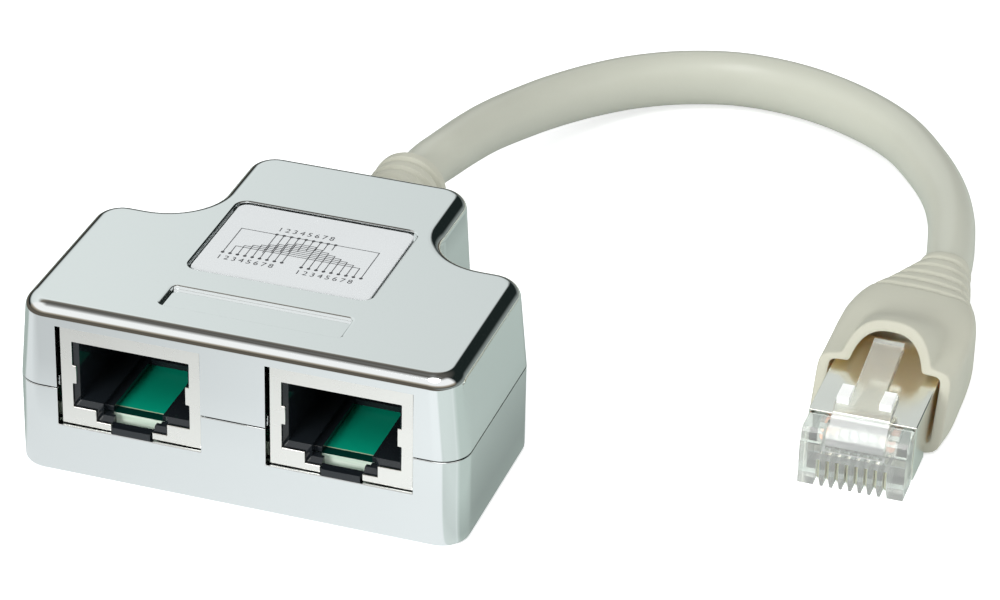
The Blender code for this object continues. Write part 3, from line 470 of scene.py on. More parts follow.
hood_rings, hollow_rings = boot_rings()
hooded_boot = skin("hooded_boot", hood_rings, 50)
# The rim band is a slightly darker, greyer copy of the boot's vinyl, for how the front-facing rim
# takes the light: painted shade.
rim_shade_vinyl = moulded("boot_rim_painted_shade", (0.475, 0.47, 0.385), 0.4, 0.05)
# The hollow's lighter, warmer copy of the vinyl is painted light, for light coming through the
# thin wall; its subsurface scattering carries part of that light for real.
hollow_glow_vinyl = moulded("boot_hollow_painted_light", (0.62, 0.57, 0.44), 0.5, 0.1)
fill(
    hollow_glow_vinyl.node_tree,
    hollow_glow_vinyl.node_tree.nodes["Principled BSDF"],
    Subsurface_Weight=0.6,
    Subsurface_Radius=(1.0, 0.75, 0.5),
    Subsurface_Scale=3 * mm,
)
dress(hooded_boot, "plug_boot", "soft_moulding", boot_vinyl, rim_shade_vinyl, hollow_glow_vinyl)
# Faces inside the hollow and its back wall take the painted-light copy.
for face in hooded_boot.data.polygons:
    row = face.index // len(hood_rings[0])
    end_wall = len(face.vertices) > 4 and face.center.y < (boot_start + 20) * mm
    if row < hollow_rings or end_wall:
        face.material_index = 2
    # The first rings round the rim take the painted-shade copy.
    elif row < hollow_rings + 5:
        face.material_index = 1

# Plug. A shielded eight-way plug moulded in clear plastic: a comb of pointed teeth in
# front, a sprung latch with two catches on top, eight wires in a channel and a folded
# nickel-plated shield round its back.
plug_front = 5.05
plug_length = 21.4
plug_width = 11.5
plug_height = 6.6
plug_sheet = 0.25
fit = 0.3
nose_width = 11.2
nose_length = 3.6
nose_step = 0.45
nose_face = 5.0
ledge = 3.9
blade_length = 5.2
blade_height = 2.5
contact_pitch = 1.016
latch_width = 6.1
lever_width = 3.25
latch_shoulder = 6.7
latch_length = 14.8
latch_thickness = 0.95
latch_rise = 3.3
catch_length = 2.8
wire_radius = 0.42
wire_height = 4.82
wire_channel_half = 4.21
raised_floor = 1.5
raised_start = boot_start - 0.6
slot_foot = 0.42
slot_neck = 0.19
catch_gap = 0.15


def box(name, low, high):
    """A box between two opposite corners in millimetres, as a tool or a start."""
    rings = []
    for z in (low[2], high[2]):
        corners = ((low[0], low[1]), (high[0], low[1]), (high[0], high[1]), (low[0], high[1]))
        rings.append([Vector((x, y, z)) * mm for x, y in corners])
    return skin(name, rings)


def centred_box(name, centre, half, near, far, low, high):
    """A box that reaches half its width to each side of a centre."""
    return box(name, (centre - half, near, low), (centre + half, far, high))


def raised_outline(near, bend, far, low, raised, top):
    """An outline seen from the side whose floor is raised behind a bend."""
    return ((near, low), (bend, low), (bend, raised), (far, raised), (far, top), (near, top))


def side_slab(name, outline, half_width, centre):
    """An outline of (y, z) points seen from the side, run across along X."""
    rings = []
    for side in (-1, 1):
        x = centre + side * half_width
        rings.append([Vector((x, y, z)) * mm for y, z in outline])
    return skin(name, rings)


def front_slab(name, outline, start, end):
    """An outline of (x, z) points seen from the front, run back along Y."""
    rings = [[Vector((x, y, z)) * mm for x, z in outline] for y in (start, end)]
    return skin(name, rings)


def carve(body, *tools, operation="DIFFERENCE"):
    """Cuts the tools out of the body, or joins them to it, and throws them away."""
    for tool in tools:
        step = body.modifiers.new(tool.name, "BOOLEAN")
        step.operation = operation
        step.solver = "EXACT"
        step.object = tool
    layers = bpy.context.evaluated_depsgraph_get()
    result = bpy.data.meshes.new_from_object(body.evaluated_get(layers))
    plain = body.data
    body.modifiers.clear()
    body.data = result
    bpy.data.meshes.remove(plain)
    for tool in tools:
        bpy.data.objects.remove(tool)


def soften(piece, radius, crease=35, steps=2):
    """Small moulded or folded radii on the edges, with the flats kept flat."""
    piece.data.shade_smooth()
    piece.data.set_sharp_from_angle(angle=math.radians(crease))
    edge = piece.modifiers.new("edge_radius", "BEVEL")
    edge.width = radius * mm
    edge.segments = steps
    edge.limit_method = "ANGLE"
    edge.angle_limit = math.radians(crease)
    edge.miter_outer = "MITER_ARC"
    flat = piece.modifiers.new("flat_faces", "WEIGHTED_NORMAL")
    flat.keep_sharp = True


def both_sides(centre, right):
    """An outline's right half of (x, z) points, closed by its own mirror image."""
    return [(centre + x, z) for x, z in right] + [(centre - x, z) for x, z in reversed(right)]


def contact_place(index):
    """A contact's place in its row of eight, counted from the row's middle."""
    return (index - 3.5) * contact_pitch


def lever_top(y):
    """Height of the latch's top, rising in a straight line from its root to its tip."""
    share = (y - nose_length) / (latch_length - nose_length)
    low = plug_height + fit + latch_thickness
    return low + (plug_height + latch_rise - low) * share


def beside_middle(name, inner, outer, start, end, low, high):
    """Two boxes, one on each side of the plug's middle."""
    pair = []
    for side in (-1, 1):
        left, right = sorted((side * inner, side * outer))
        near = (plug_x + left, plug_front + start, low)
        pair.append(box(name, near, (plug_x + right, plug_front + end, high)))
    return pair


def clear_body():
    """The clear moulding, with the latch and its two catches in one piece."""
    half = plug_width / 2 - plug_sheet - fit
    top = plug_height - plug_sheet
    join = plug_front + nose_length
    tail = plug_front + plug_length
    nose = (
        (plug_front, 0.0),
        (join, 0.0),
        (join, top),
        (plug_front + nose_step + 0.4, top),
        (plug_front + nose_step, top - 0.4),
        (plug_front + nose_step, nose_face),
        (plug_front, nose_face),
    )
    back = raised_outline(join - 1.8, raised_start, tail, 0.55, raised_floor, top - fit)
    recess = ((-1.0, ledge), (0.5, ledge), (2.9, 5.9), (2.9, 9.0), (-1.0, 9.0))
    latch = (
        (nose_length, lever_top(nose_length)),
        (latch_length, lever_top(latch_length)),
        (latch_length, lever_top(latch_length) - latch_thickness),
        (nose_length, lever_top(nose_length) - latch_thickness),
        (3.1, 6.3),
        (2.8, 5.7),
        (0.6, ledge - fit),
        (0.6, 4.6),
        (1.0, 5.2),
        (2.8, 7.1),
    )
    body = side_slab("clear_plug", nose, nose_width / 2, plug_x)
    latch = [(plug_front + y, z) for y, z in latch]
    recess = [(plug_front + y, z) for y, z in recess]
    carve(body, side_slab("back", back, half, plug_x), operation="UNION")
    carve(body, side_slab("recess", recess, latch_width / 2 + fit, plug_x))
    carve(body, side_slab("latch", latch, latch_width / 2, plug_x), operation="UNION")
    inner = lever_width / 2
    heights = (plug_height, plug_height + 2 * latch_rise)
    end = latch_length + fit
    carve(body, *beside_middle("gap", inner, latch_width, latch_shoulder, end, *heights))
    start = latch_shoulder - catch_length
    heights = (lever_top(start) - latch_thickness / 2, lever_top(latch_shoulder) + fit)
    outer = latch_width / 2 - catch_gap
    end = latch_shoulder - catch_gap
    catches = beside_middle("catch", inner, outer, start, end, *heights)
    carve(body, *catches, operation="UNION")
    slot = ((slot_foot, -fit), (slot_neck, 0.9), (slot_neck, 3.1))
    tools = []
    for i in range(8):
        outline = both_sides(plug_x + contact_place(i), slot)
        end = plug_front + blade_length + 4 * fit
        tools.append(front_slab("blade_slot", outline, plug_front - fit, end))
    heights = (wire_height - wire_radius - fit, wire_height + wire_radius + fit)
    sides = (plug_x, wire_channel_half)
    tools.append(centred_box("channel", *sides, plug_front + 2.65, tail + fit, *heights))
    carve(body, *tools)
    return body


def mix_shaders(tree, share, first, second):
    """Two shaders mixed by a share."""
    return add_node(tree, "MixShader", _0=share, _1=first, _2=second).outputs[0]


def clear_plastic(name, tint, roughness, frost):
    """Clear plastic with faint flow marks and some milky frosting."""
    material, tree, shader = new_material(name)
    flow = noise(tree, object_place(tree), 260.0, 2.0)
    fill(
        tree,
        shader,
        Normal=bumped(tree, flow, 0.12, 0.1),
        Base_Color=(*tint, 1),
        Roughness=roughness,
        IOR=1.49,
        Transmission_Weight=1.0 - frost,
    )
    shadow = add_node(tree, "LightPath").outputs["Is Shadow Ray"]
    let_through = add_node(tree, "BsdfTransparent", Color=(0.88, 0.9, 0.88, 1)).outputs[0]
    mixed = mix_shaders(tree, shadow, shader.outputs[0], let_through)
    fill(tree, tree.nodes["Material Output"], Surface=mixed)
    return material


clear_plug = clear_body()
plug_plastics = (
    clear_plastic("clear_plug", (0.90, 0.92, 0.89), 0.05, 0.2),
    # The catches' top faces are made milky near-white: a painted highlight on the latch's
    # shoulders.
    clear_plastic("catch_painted_highlight", (0.97, 0.98, 0.97), 0.3, 0.75),
    clear_plastic("milky_root", (0.86, 0.88, 0.87), 0.12, 0.3),
    # The lever's darker beige tint is painted shade: the lever lies under the hood, with the
    # beige hollow seen through it.
    clear_plastic("lever_painted_shade", (0.70, 0.69, 0.60), 0.1, 0.1),
)
dress(clear_plug, "plug_body", "clear_plug", *plug_plastics)
catch_floor = lever_top(latch_shoulder) - 0.15
for face in clear_plug.data.polygons:
    away = abs(face.center.x / mm - plug_x)
    near = face.center.y / mm - plug_front
    height = face.center.z / mm
    on_catch = lever_width / 2 - 0.05 < away < latch_width / 2 and near < latch_shoulder
    on_root = away < 0.1 and near < 2.9 and face.normal.y < -0.3 and face.normal.z > 0.3
    if on_root:
        face.material_index = 2
    # The lever's faces take the painted-shade tint.
    elif near > latch_shoulder - 0.1 and height > plug_height + fit:
        face.material_index = 3
    # The catches' top faces take the painted-highlight finish.
    elif on_catch and height > catch_floor:
        face.material_index = 1
soften(clear_plug, 0.09)

wire_tints = {
    "orange_white_wire": (0.85, 0.33, 0.16),
    "orange_wire": (0.86, 0.62, 0.50),
    "green_white_wire": (0.80, 0.84, 0.80),
    "blue_wire": (0.62, 0.68, 0.78),
    "blue_white_wire": (0.78, 0.82, 0.86),
    "green_wire": (0.60, 0.72, 0.62),
    "brown_white_wire": (0.74, 0.62, 0.56),
    "brown_wire": (0.50, 0.24, 0.17),
}


def round_wire(name, path, radius, steps=16):
    """A round wire along a path that stays in one plane across X."""
    rings = []
    last = len(path) - 1
    side = Vector((1, 0, 0))
    for i, point in enumerate(path):
        above = side.cross(path[min(i + 1, last)] - path[max(i - 1, 0)]).normalized()
        ring = [point + radius * (side * c + above * s) for c, s in circle(steps)]
        rings.append([point * mm for point in ring])
    return skin(name, rings)


wire_materials = {}
for i, (slot, tint) in enumerate(wire_tints.items()):
    x = plug_x + contact_place(i)
    ends = [plug_front + 2.75, plug_front + 3.0, plug_front + plug_length - fit]
    path = [Vector((x, y, wire_height)) for y in ends]
    core = round_wire(f"plug_core_{i + 1}", path, wire_radius)
    wire_materials[slot] = moulded(slot, tint, 0.35, 0.04)
    dress(core, f"plug_wire_{i + 1}", slot, wire_materials[slot])


def plating_group():
    """Bright plating: slow ripples left by the part under it, and faint haze."""
    group, source, sink = new_group(
        "bright_plating",
        (
            ("Ripple Scale", "NodeSocketFloat", 40.0),
            ("Roughness", "NodeSocketFloat", 0.05),
            ("Haze", "NodeSocketFloat", 0.04),
        ),
        (("Roughness", "NodeSocketFloat"), ("Height", "NodeSocketFloat")),
    )
    place = object_place(group)
    ripple = noise(group, place, source.outputs["Ripple Scale"], 1.0)
    haze = noise(group, place, 320.0, 5.0)
    added = source.outputs["Haze"]
    rough = calculate(group, "MULTIPLY_ADD", haze, added, source.outputs["Roughness"])
    fill(group, sink, Roughness=rough, Height=ripple)
    return group


bright_plating = plating_group()


def plated(name, colour, roughness, haze, ripple, depth=0.02):
    """Metal plating with its own colour and gloss."""
    look = {"Ripple_Scale": ripple, "Roughness": roughness, "Haze": haze}
    material, tree, shader, _ = grained(name, bright_plating, 0.5, depth, **look)
    fill(tree, shader, Base_Color=(*colour, 1), Metallic=1.0)
    return material


def blade_outline():
    """A contact blade seen from the side, with its rounded corners."""
    low = (plug_front + 2 * fit, fit)
    high = (plug_front + 2 * fit + blade_length - 2 * fit, fit + blade_height)
    cut = 0.4
    return (
        (low[0] + cut, low[1]),
        (high[0], low[1]),
        (high[0], high[1] - cut),
        (high[0] - cut, high[1]),
        (low[0], high[1]),
        (low[0], low[1] + cut),
    )


gold = plated("gold_plate", (0.95, 0.74, 0.42), 0.16, 0.06, 200.0)
# The blades' pale, rough gold is painted light: it shows as the white brightness in the comb's
# slots.
blade_gold_painted_light = plated("blade_gold_painted_light", (1.0, 0.93, 0.80), 0.3, 0.06, 200.0)
for i in range(8):
    x = plug_x + contact_place(i)
    blade = side_slab(f"contact_blade_{i + 1}", blade_outline(), 0.14, x)
    soften(blade, 0.04)
    dress(blade, f"plug_contact_{i + 1}", "gold_contact", blade_gold_painted_light)


def folded_shield():
    """The plug's shield: roof and two sides, raised where the boot's floor passes."""
    near = plug_front + nose_length + fit
    far = boot_start + 11.4
    half = plug_width / 2
    outline = raised_outline(near, raised_start, far, plug_sheet, raised_floor, plug_height)
    shield = side_slab("plug_wrap", outline, half, plug_x)
    low = (plug_x - half + plug_sheet, near - fit, -fit)
    high = (plug_x + half - plug_sheet, far + fit, plug_height - plug_sheet)
    carve(shield, box("inside", low, high))
    return shield


nickel = plated("satin_nickel", (0.99, 0.975, 0.93), 0.22, 0.1, 60.0)
plug_nickel = plated("plug_nickel", (0.93, 0.93, 0.88), 0.16, 0.1, 60.0)
plug_wrap = folded_shield()
soften(plug_wrap, 0.1)
dress(plug_wrap, "plug_shield", "plug_shield", plug_nickel)

# Housing. Two shells moulded in hard plastic and vacuum plated to a near mirror, drafted
# towards the roof, with soft top edges, two sunk panels in the roof and a window for
# each jack. They meet at a fine parting line level with the cord.
body_depth = 23.4
housing_width = 48.7
housing_height = 19.7
housing_depth = 39.2
front = -housing_depth / 2
rear = housing_depth / 2
neck_width = 25.6
parting = 10.15
parting_gap = 0.15
wall = 1.35
roof_thickness = 1.2
side_draft = 0.8
end_draft = 0.45
corner_radius = 3.1
neck_fillet = 6.3
top_round = 1.5
bottom_round = 0.55
jack_pitch = 22.8
shield_width = 15.3
shield_bottom = 5.95
shield_top = 17.35
wide_gap = 0.36
slim_gap = 0.12
label_size = (20.0, 15.3)
label_start = 12.2
label_depth = 0.55
panel_size = (19.6, 4.3)
panel_start = 4.2
panel_depth = 0.45


def rounded(corners, steps):
    """Rounds the corners of a closed outline: each corner is (x, y, radius)."""
    points = []
    count = len(corners)
    for i, (x, y, radius) in enumerate(corners):
        corner = Vector((x, y))
        before = (Vector(corners[i - 1][:2]) - corner).normalized()
        after = (Vector(corners[(i + 1) % count][:2]) - corner).normalized()
        half = before.angle(after) / 2
        centre = corner + (before + after).normalized() * radius / math.sin(half)
        start = corner + before * radius / math.tan(half) - centre
        end = corner + after * radius / math.tan(half) - centre
        turn = start.angle_signed(end)
        for k in range(steps + 1):
            arm = start.copy()
            arm.rotate(Matrix.Rotation(-turn * k / steps, 2))
            points.append(centre + arm)
    return points


def tee_ring(height, inset):
    """The T outline at a height, drafted in towards the roof and set in by inset."""
    draft = max(0.0, (height - parting) / (housing_height - parting))
    side = housing_width / 2 - side_draft * draft - inset
    neck = neck_width / 2 - end_draft * draft - inset
    near = front + inset
    shoulder = front + body_depth - end_draft * draft - inset
    back = rear - end_draft * draft - inset
    outer = corner_radius - inset
    inner = neck_fillet + inset
    corners = (
        (side, near, outer),
        (side, shoulder, outer),
        (neck, shoulder, inner),
        (neck, back, outer),
        (-neck, back, outer),
        (-neck, shoulder, inner),
        (-side, shoulder, outer),
        (-side, near, outer),
    )
    return [Vector((x, y, height)) * mm for x, y in rounded(corners, 16)]


def quarter_round(radius, steps):
    """Pairs of (drop, inset) along a quarter round, from the flat face to the wall."""
    for k in range(steps + 1):
        angle = math.pi / 2 * k / steps
        yield radius * (1 - math.cos(angle)), radius * (1 - math.sin(angle))


def rounded_panel(half, near, far, radius, height):
    """A rectangle with rounded corners at a height, on the housing's middle line."""
    ends = ((-half, near), (half, near), (half, far), (-half, far))
    outline = rounded([(x, y, radius) for x, y in ends], 8)
    return [Vector((x, y, height)) * mm for x, y in outline]


def sunk_panel(name, size, start, radius, depth, edge):
    """A tool for a sunk panel in the roof, with a shallow fall at its back and ends."""
    rings = []
    near = front + start
    for drop, grow in ((-depth, edge), (0.0, edge), (0.1, 0.0), (depth, 0.0)):
        half = size[0] / 2 + grow
        far = near + size[1] + grow
        rings.append(rounded_panel(half, near, far, radius + grow, housing_height - drop))
    return skin(name, rings)


def shell_cutters():
    """Tools for the two jack windows and the hole that the cord's sleeve passes."""
    tools = []
    for side in (-1, 1):
        half = shield_width / 2
        centre = side * jack_pitch / 2
        low = (centre - half - wide_gap, front - wall, shield_bottom - slim_gap)
        high = (centre + half + slim_gap, front + 2 * wall, shield_top + slim_gap)
        tools.append(box("window", low, high))
    hole = sleeve_radius + fit
    profile = ((rear - 2 * wall, hole), (rear + wall, hole))
    return [*tools, turned("sleeve_hole", profile, sleeve_height, 64)]


def roof_shell():
    """The upper shell with its rounded top, rebated rim and sunk panels."""
    rings = [
        tee_ring(housing_height - drop, inset) for drop, inset in quarter_round(top_round, 14)
    ]
    rim = parting + parting_gap / 2
    rebate = wall - 0.8
    for height, inset in (
        (rim, 0.0),
        (rim, rebate),
        (parting + 1.3, rebate),
        (parting + 1.3, wall),
        (housing_height - roof_thickness, wall),
    ):
        rings.append(tee_ring(height, inset))
    shell = skin("roof_shell", rings)
    label_sink = (label_size[0] + 0.3, label_size[1] + 0.3)
    label_tool = sunk_panel("label_sink", label_sink, label_start - 0.15, 1.3, label_depth, 0.15)
    panel_tool = sunk_panel("panel_sink", panel_size, panel_start, 0.6, panel_depth, 0.3)
    carve(shell, label_tool, panel_tool, *shell_cutters())
    return shell


def floor_shell():
    """The lower shell, a tray with a locating lip inside its rim."""
    rings = [tee_ring(drop, inset) for drop, inset in quarter_round(bottom_round, 6)]
    rim = parting - parting_gap / 2
    lip = wall - 0.5
    for height, inset in (
        (rim, 0.0),
        (rim, lip),
        (parting + 1.0, lip),
        (parting + 1.0, wall),
        (1.2, wall),
    ):
        rings.append(tee_ring(height, inset))
    shell = skin("floor_shell", rings)
    carve(shell, *shell_cutters())
    return shell


chrome = plated("vacuum_chrome", (0.86, 0.885, 0.885), 0.045, 0.03, 45.0, 0.012)
for shell, node in ((roof_shell(), "upper_shell"), (floor_shell(), "lower_shell")):
    soften(shell, 0.13, 30, 3)
    dress(shell, node, "plated_shell", chrome)

# Label. White plastic film in the larger panel, printed in black with the wiring: three
# rows of nine dots, each joined by thin stepped lines, with plain numbers beside them.
label_top = housing_height - label_depth + 0.35
print_height = label_top + 0.01


def label_plate():
    """The film, a little smaller than its panel, with rounded corners."""
    half = label_size[0] / 2 - 0.15
    near = front + label_start + 0.15
    far = front + label_start + label_size[1] - 0.15
    heights = (label_top - 0.2, label_top)
    return skin("label_film", [rounded_panel(half, near, far, 1.05, z) for z in heights])


label_film = label_plate()
soften(label_film, 0.04)
film_plastic = moulded("label_film", (0.63, 0.65, 0.655), 0.3, 0.03, 900.0)
dress(label_film, "wiring_label", "label", film_plastic)

dot_count = 9
dot_pitch = 0.82
left_row = Vector((-7.79, -2.75))
right_row = Vector((1.0, -3.0))
upper_row = Vector((-3.85, 2.65))
line_width = 0.095
dot_radius = 0.2
number_size = 1.15


def ink_line(shape, points):
    """A printed line through the points, each stretch a thin flat strip."""
    for a, b in zip(points, points[1:]):
        along = (b - a).normalized() * line_width / 2
        across = Vector((-along.y, along.x))
        corners = (a - along - across, b + along - across, b + along + across, a - along + across)
        shape.faces.new([shape.verts.new((*(p * mm), print_height * mm)) for p in corners])


def ink_dot(shape, centre):
    """A printed round dot, a hair above the lines."""
    height = (print_height + 0.002) * mm
    corners = [(centre + dot_radius * Vector(turn)) * mm for turn in circle(16)]
    shape.faces.new([shape.verts.new((*corner, height)) for corner in corners])


def wiring_print():
    """The dots, their stepped lines and the outer line round them."""
    shape = bmesh.new()
    for i in range(dot_count):
        step = Vector((i * dot_pitch, 0))
        left = left_row + step
        right = right_row + step
        upper = upper_row + step
        for dot in (left, right, upper):
            ink_dot(shape, dot)
        level = 0.37 * i - 1.45
        opposite = right_row + Vector(((dot_count - 1 - i) * dot_pitch, 0))
        ink_line(shape, (upper, Vector((upper.x, level))))
        if i:
            corner = Vector((left.x, level))
            ink_line(shape, (left, corner, Vector((opposite.x, level)), opposite))
    first = left_row
    last = right_row + Vector(((dot_count - 1) * dot_pitch, 0))
    level = upper_row.y
    ink_line(shape, (first, Vector((first.x, level)), Vector((last.x, level)), last))
    return shape


def number_row(start, drop):
    """Plain numbers 1 to 8 beside a row of dots."""
    pieces = []
    for i in range(8):
        words = bpy.data.curves.new("number", "FONT")
        words.body = str(i + 1)
        words.size = number_size * mm
        words.align_x = "CENTER"
        words.align_y = "CENTER"
        words.resolution_u = 3
        item = add_object("number", words)
        place = start + Vector((i * dot_pitch, drop))
        item.location = (place.x * mm, place.y * mm, print_height * mm)
        pieces.append(item)
    return pieces


def ink_piece():
    """Lines, dots and numbers as one flat printed piece."""
    shape = wiring_print()
    numbers = number_row(left_row, -1.05) + number_row(right_row, -1.05)
    numbers += number_row(upper_row, 1.1)
    bpy.context.view_layer.update()
    layers = bpy.context.evaluated_depsgraph_get()
    for item in numbers:
        outline = bpy.data.meshes.new_from_object(item.evaluated_get(layers))
        outline.transform(item.matrix_world)
        shape.from_mesh(outline)
        bpy.data.objects.remove(item)
        bpy.data.meshes.remove(outline)
    mesh = bpy.data.meshes.new("label_print")
    shape.to_mesh(mesh)
    shape.free()
    return add_object("label_print", mesh)


label_print = ink_piece()
label_print.data.materials.append(moulded("black_ink", (0.05, 0.05, 0.055), 0.5, 0.2))
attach(label_print, "root")

# Jacks. Each is a black moulded insert in a folded nickel-plated shield. The opening is
# stepped for the plug's latch, with its edges led in, and a crossbar of the insert
# fills the shield's slot. Eight gold wires spring down from the roof.
shield_depth = 16.6
shield_sheet = 0.3
set_back = 0.4
mouth_half = shield_width / 2 - 1.25
mouth_top = shield_top - 1.65
mouth_bottom = shield_bottom + 2.05
lead_in = 0.45
channel_half = 3.9
channel_bottom = mouth_bottom - 1.3
latch_slot_half = 2.25
board_slot_half = 2.7
board_front = front + 2.5
board_top = 6.95
cavity_depth = 13.0


def stepped_mouth(centre, grow, bottom):
    """The opening seen from the front: a wide mouth over the latch channel."""
    half = mouth_half + grow
    step = channel_half + grow
    right = (
        (step, bottom - grow),
        (step, mouth_bottom - grow),
        (half, mouth_bottom - grow),
        (half, mouth_top + grow),
    )
    return both_sides(centre, right)


def jack_can(side, centre):
    """The shield: front plate with two small side tabs, roof and sides."""
    half = shield_width / 2
    near = front + set_back
    far = near + shield_depth
    seat = board_top + fit
    outline = raised_outline(near, board_front - fit, far, shield_bottom, seat, shield_top)
    can = side_slab(f"{side}_jack_can", outline, half, centre)
    low = (centre - half + shield_sheet, near + shield_sheet, shield_bottom - wall)
    high = (centre + half - shield_sheet, far + wall, shield_top - shield_sheet)
    tab = mouth_half - 0.42
    tab_top = mouth_top - 2.8
    tab_bottom = tab_top - 2.1
    right = (
        (latch_slot_half, shield_bottom - wall),
        (latch_slot_half, channel_bottom),
        (channel_half, channel_bottom),
        (channel_half, mouth_bottom),
        (mouth_half, mouth_bottom),
        (mouth_half, tab_bottom),
        (tab, tab_bottom),
        (tab, tab_top),
        (mouth_half, tab_top),
        (mouth_half, mouth_top),
    )
    cut = both_sides(centre, right)
    carve(can, box("can_inside", low, high))
    carve(can, front_slab("can_mouth", cut, near - wall, near + 1.5 * shield_sheet))
    return can


def jack_insert(side, centre):
    """The insert: led-in mouth, cavity, latch channel open over the board, a notch in
    front of the board, a trough for the contacts and the crossbar."""
    half = shield_width / 2 - shield_sheet - fit
    near = front + set_back + shield_sheet + 0.15
    cavity_back = front + set_back + cavity_depth
    back = cavity_back + 1.3
    seat = board_top + fit
    lip = channel_bottom - lead_in
    roof = shield_top - shield_sheet - fit
    bar_top = channel_bottom - 0.15
    outline = raised_outline(near, board_front - fit, back, lip, seat, roof)
    insert = side_slab(f"{side}_jack_insert", outline, half, centre)
    mouth_rings = []
    for y, grow in (
        (near - 2 * shield_sheet, lead_in),
        (near, 0.0),
        (near + lead_in, -lead_in),
        (board_front - fit, -lead_in),
    ):
        ring = stepped_mouth(centre, grow, channel_bottom)
        mouth_rings.append([Vector((x, y, z)) * mm for x, z in ring])
    web_top = seat + 2 * fit - lead_in
    cavity = stepped_mouth(centre, -lead_in, web_top)
    inner = near + 2 * lead_in
    notch = (
        (near - shield_sheet, bar_top),
        (near + lead_in, bar_top),
        (near + lead_in, lip - wall),
        (near + 3 * lead_in, lip - wall),
        (near + 3 * lead_in, mouth_bottom),
        (near - shield_sheet, mouth_bottom),
    )
    carve(insert, skin("mouth_tool", mouth_rings))
    carve(insert, front_slab("cavity_tool", cavity, inner, cavity_back))
    sizes = (board_slot_half, inner, cavity_back - wall, lip - wall, mouth_bottom)
    carve(insert, centred_box("floor_slot", centre, *sizes))
    carve(insert, side_slab("front_notch", notch, latch_slot_half, centre))
    trough = 4 * contact_pitch + fit
    sizes = (trough, inner, back + wall, mouth_top - 2 * lead_in, mouth_top + 0.5)
    carve(insert, centred_box("contact_trough", centre, *sizes))
    bar_half = latch_slot_half - 0.15
    sizes = (bar_half, front + 0.15, near + lead_in / 2, shield_bottom - 0.15, bar_top)
    carve(insert, centred_box("crossbar", centre, *sizes), operation="UNION")
    return insert


def spring_profile():
    """A spring wire from the side, from its free tip to its leg on the board."""
    near = front + set_back + shield_sheet + 0.15
    bend_front = near + 2 * lead_in + fit + 0.2
    tail = front + set_back + cavity_depth + 1.3 + fit + 0.2
    return (
        (front + 9.0, mouth_top - 2.5),
        (bend_front + 0.32, mouth_top - 0.77),
        (bend_front + 0.05, mouth_top - 0.52),
        (bend_front + 0.05, mouth_top - 0.21),
        (bend_front + 0.35, mouth_top),
        (tail - 0.35, mouth_top),
        (tail - 0.1, mouth_top - 0.1),
        (tail, mouth_top - 0.35),
        (tail, board_top + fit),
    )


insert_plastic = moulded("insert_black", (0.010, 0.013, 0.016), 0.03, 0.2, 1500.0, 0.005)
for side, centre in (("left", -jack_pitch / 2), ("right", jack_pitch / 2)):
    can = jack_can(side, centre)
    soften(can, 0.06)
    dress(can, f"{side}_jack_shield", "jack_shield", nickel)
    insert = jack_insert(side, centre)
    soften(insert, 0.06)
    dress(insert, f"{side}_jack_body", "jack_insert", insert_plastic)
    for i in range(8):
        x = centre + contact_place(i)
        path = [Vector((x, y, z)) for y, z in spring_profile()]
        spring = round_wire(f"{side}_spring_{i + 1}", path, 0.2, 12)
        dress(spring, f"{side}_jack_contact_{i + 1}", "gold_contact", gold)

# Board and hidden wiring. Glass-fibre board under green solder mask: near black in a band
# 1.3 mm deep along its front edge, green behind it with a thin pale line between, and the
# pale fibres showing on its cut edge. The cord's wires fan out to it inside the neck.
dark_band_edge = (board_front + 1.3) * mm
band_dark = (0.0, 0.03, 0.022, 1)
mask_green = (0.001, 0.36, 0.22, 1)
edge_line = (0.55, 0.66, 0.45, 1)
fibre_dark = (0.30, 0.48, 0.36, 1)
fibre_pale = (0.90, 0.96, 0.86, 1)


def blend(tree, share, first, second, kind="RGBA"):
    """Two colours or two numbers mixed by a share."""
    node = add_node(tree, "Mix", {"data_type": kind}, Factor=share, A=first, B=second)
    return node.outputs["Result"]


def spread(tree, value, low, high, start=0.0, end=1.0, settings=()):
    """A value's place between two bounds, from a start to an end."""
    node = add_node(tree, "MapRange", settings, Value=value, From_Min=low, From_Max=high)
    fill(tree, node, To_Min=start, To_Max=end)
    return node.outputs["Result"]


def board_material():
    """Green mask on the faces, streaked glass fibre on the edges."""
    material, tree, shader = new_material("circuit_board")
    place = object_place(tree)
    depth = add_node(tree, "SeparateXYZ", Vector=place).outputs["Y"]
    # Near black in the front band, green behind it, a thin pale line where they meet.
    away = calculate(tree, "SUBTRACT", depth, dark_band_edge)
    behind_band = spread(tree, away, -0.03 * mm, 0.03 * mm)
    apart = calculate(tree, "ABSOLUTE", away)
    line = spread(tree, apart, 0.05 * mm, 0.09 * mm, 1.0, 0.0)
    mask = blend(tree, behind_band, band_dark, mask_green)
    printed = blend(tree, line, mask, edge_line)
    stretch = add_node(tree, "Mapping", Vector=place, Scale=(120.0, 120.0, 2600.0))
    fibres = noise(tree, stretch.outputs["Vector"], 1.0, 4.0)
    edge = blend(tree, fibres, fibre_dark, fibre_pale)
    facing = add_node(tree, "NewGeometry").outputs["True Normal"]
    facing = add_node(tree, "SeparateXYZ", Vector=facing).outputs["Z"]
    flat = calculate(tree, "GREATER_THAN", calculate(tree, "ABSOLUTE", facing), 0.5)
    fill(tree, shader, Base_Color=blend(tree, flat, edge, printed), Roughness=0.3)
    return material


nodes["circuit_board"].material_slots[0].material = board_material()
nodes["cable_inner_end"].material_slots[0].material = cord_vinyl
for i, slot in enumerate(wire_tints):
    nodes[f"board_wire_{i + 1}"].material_slots[0].material = wire_materials[slot]

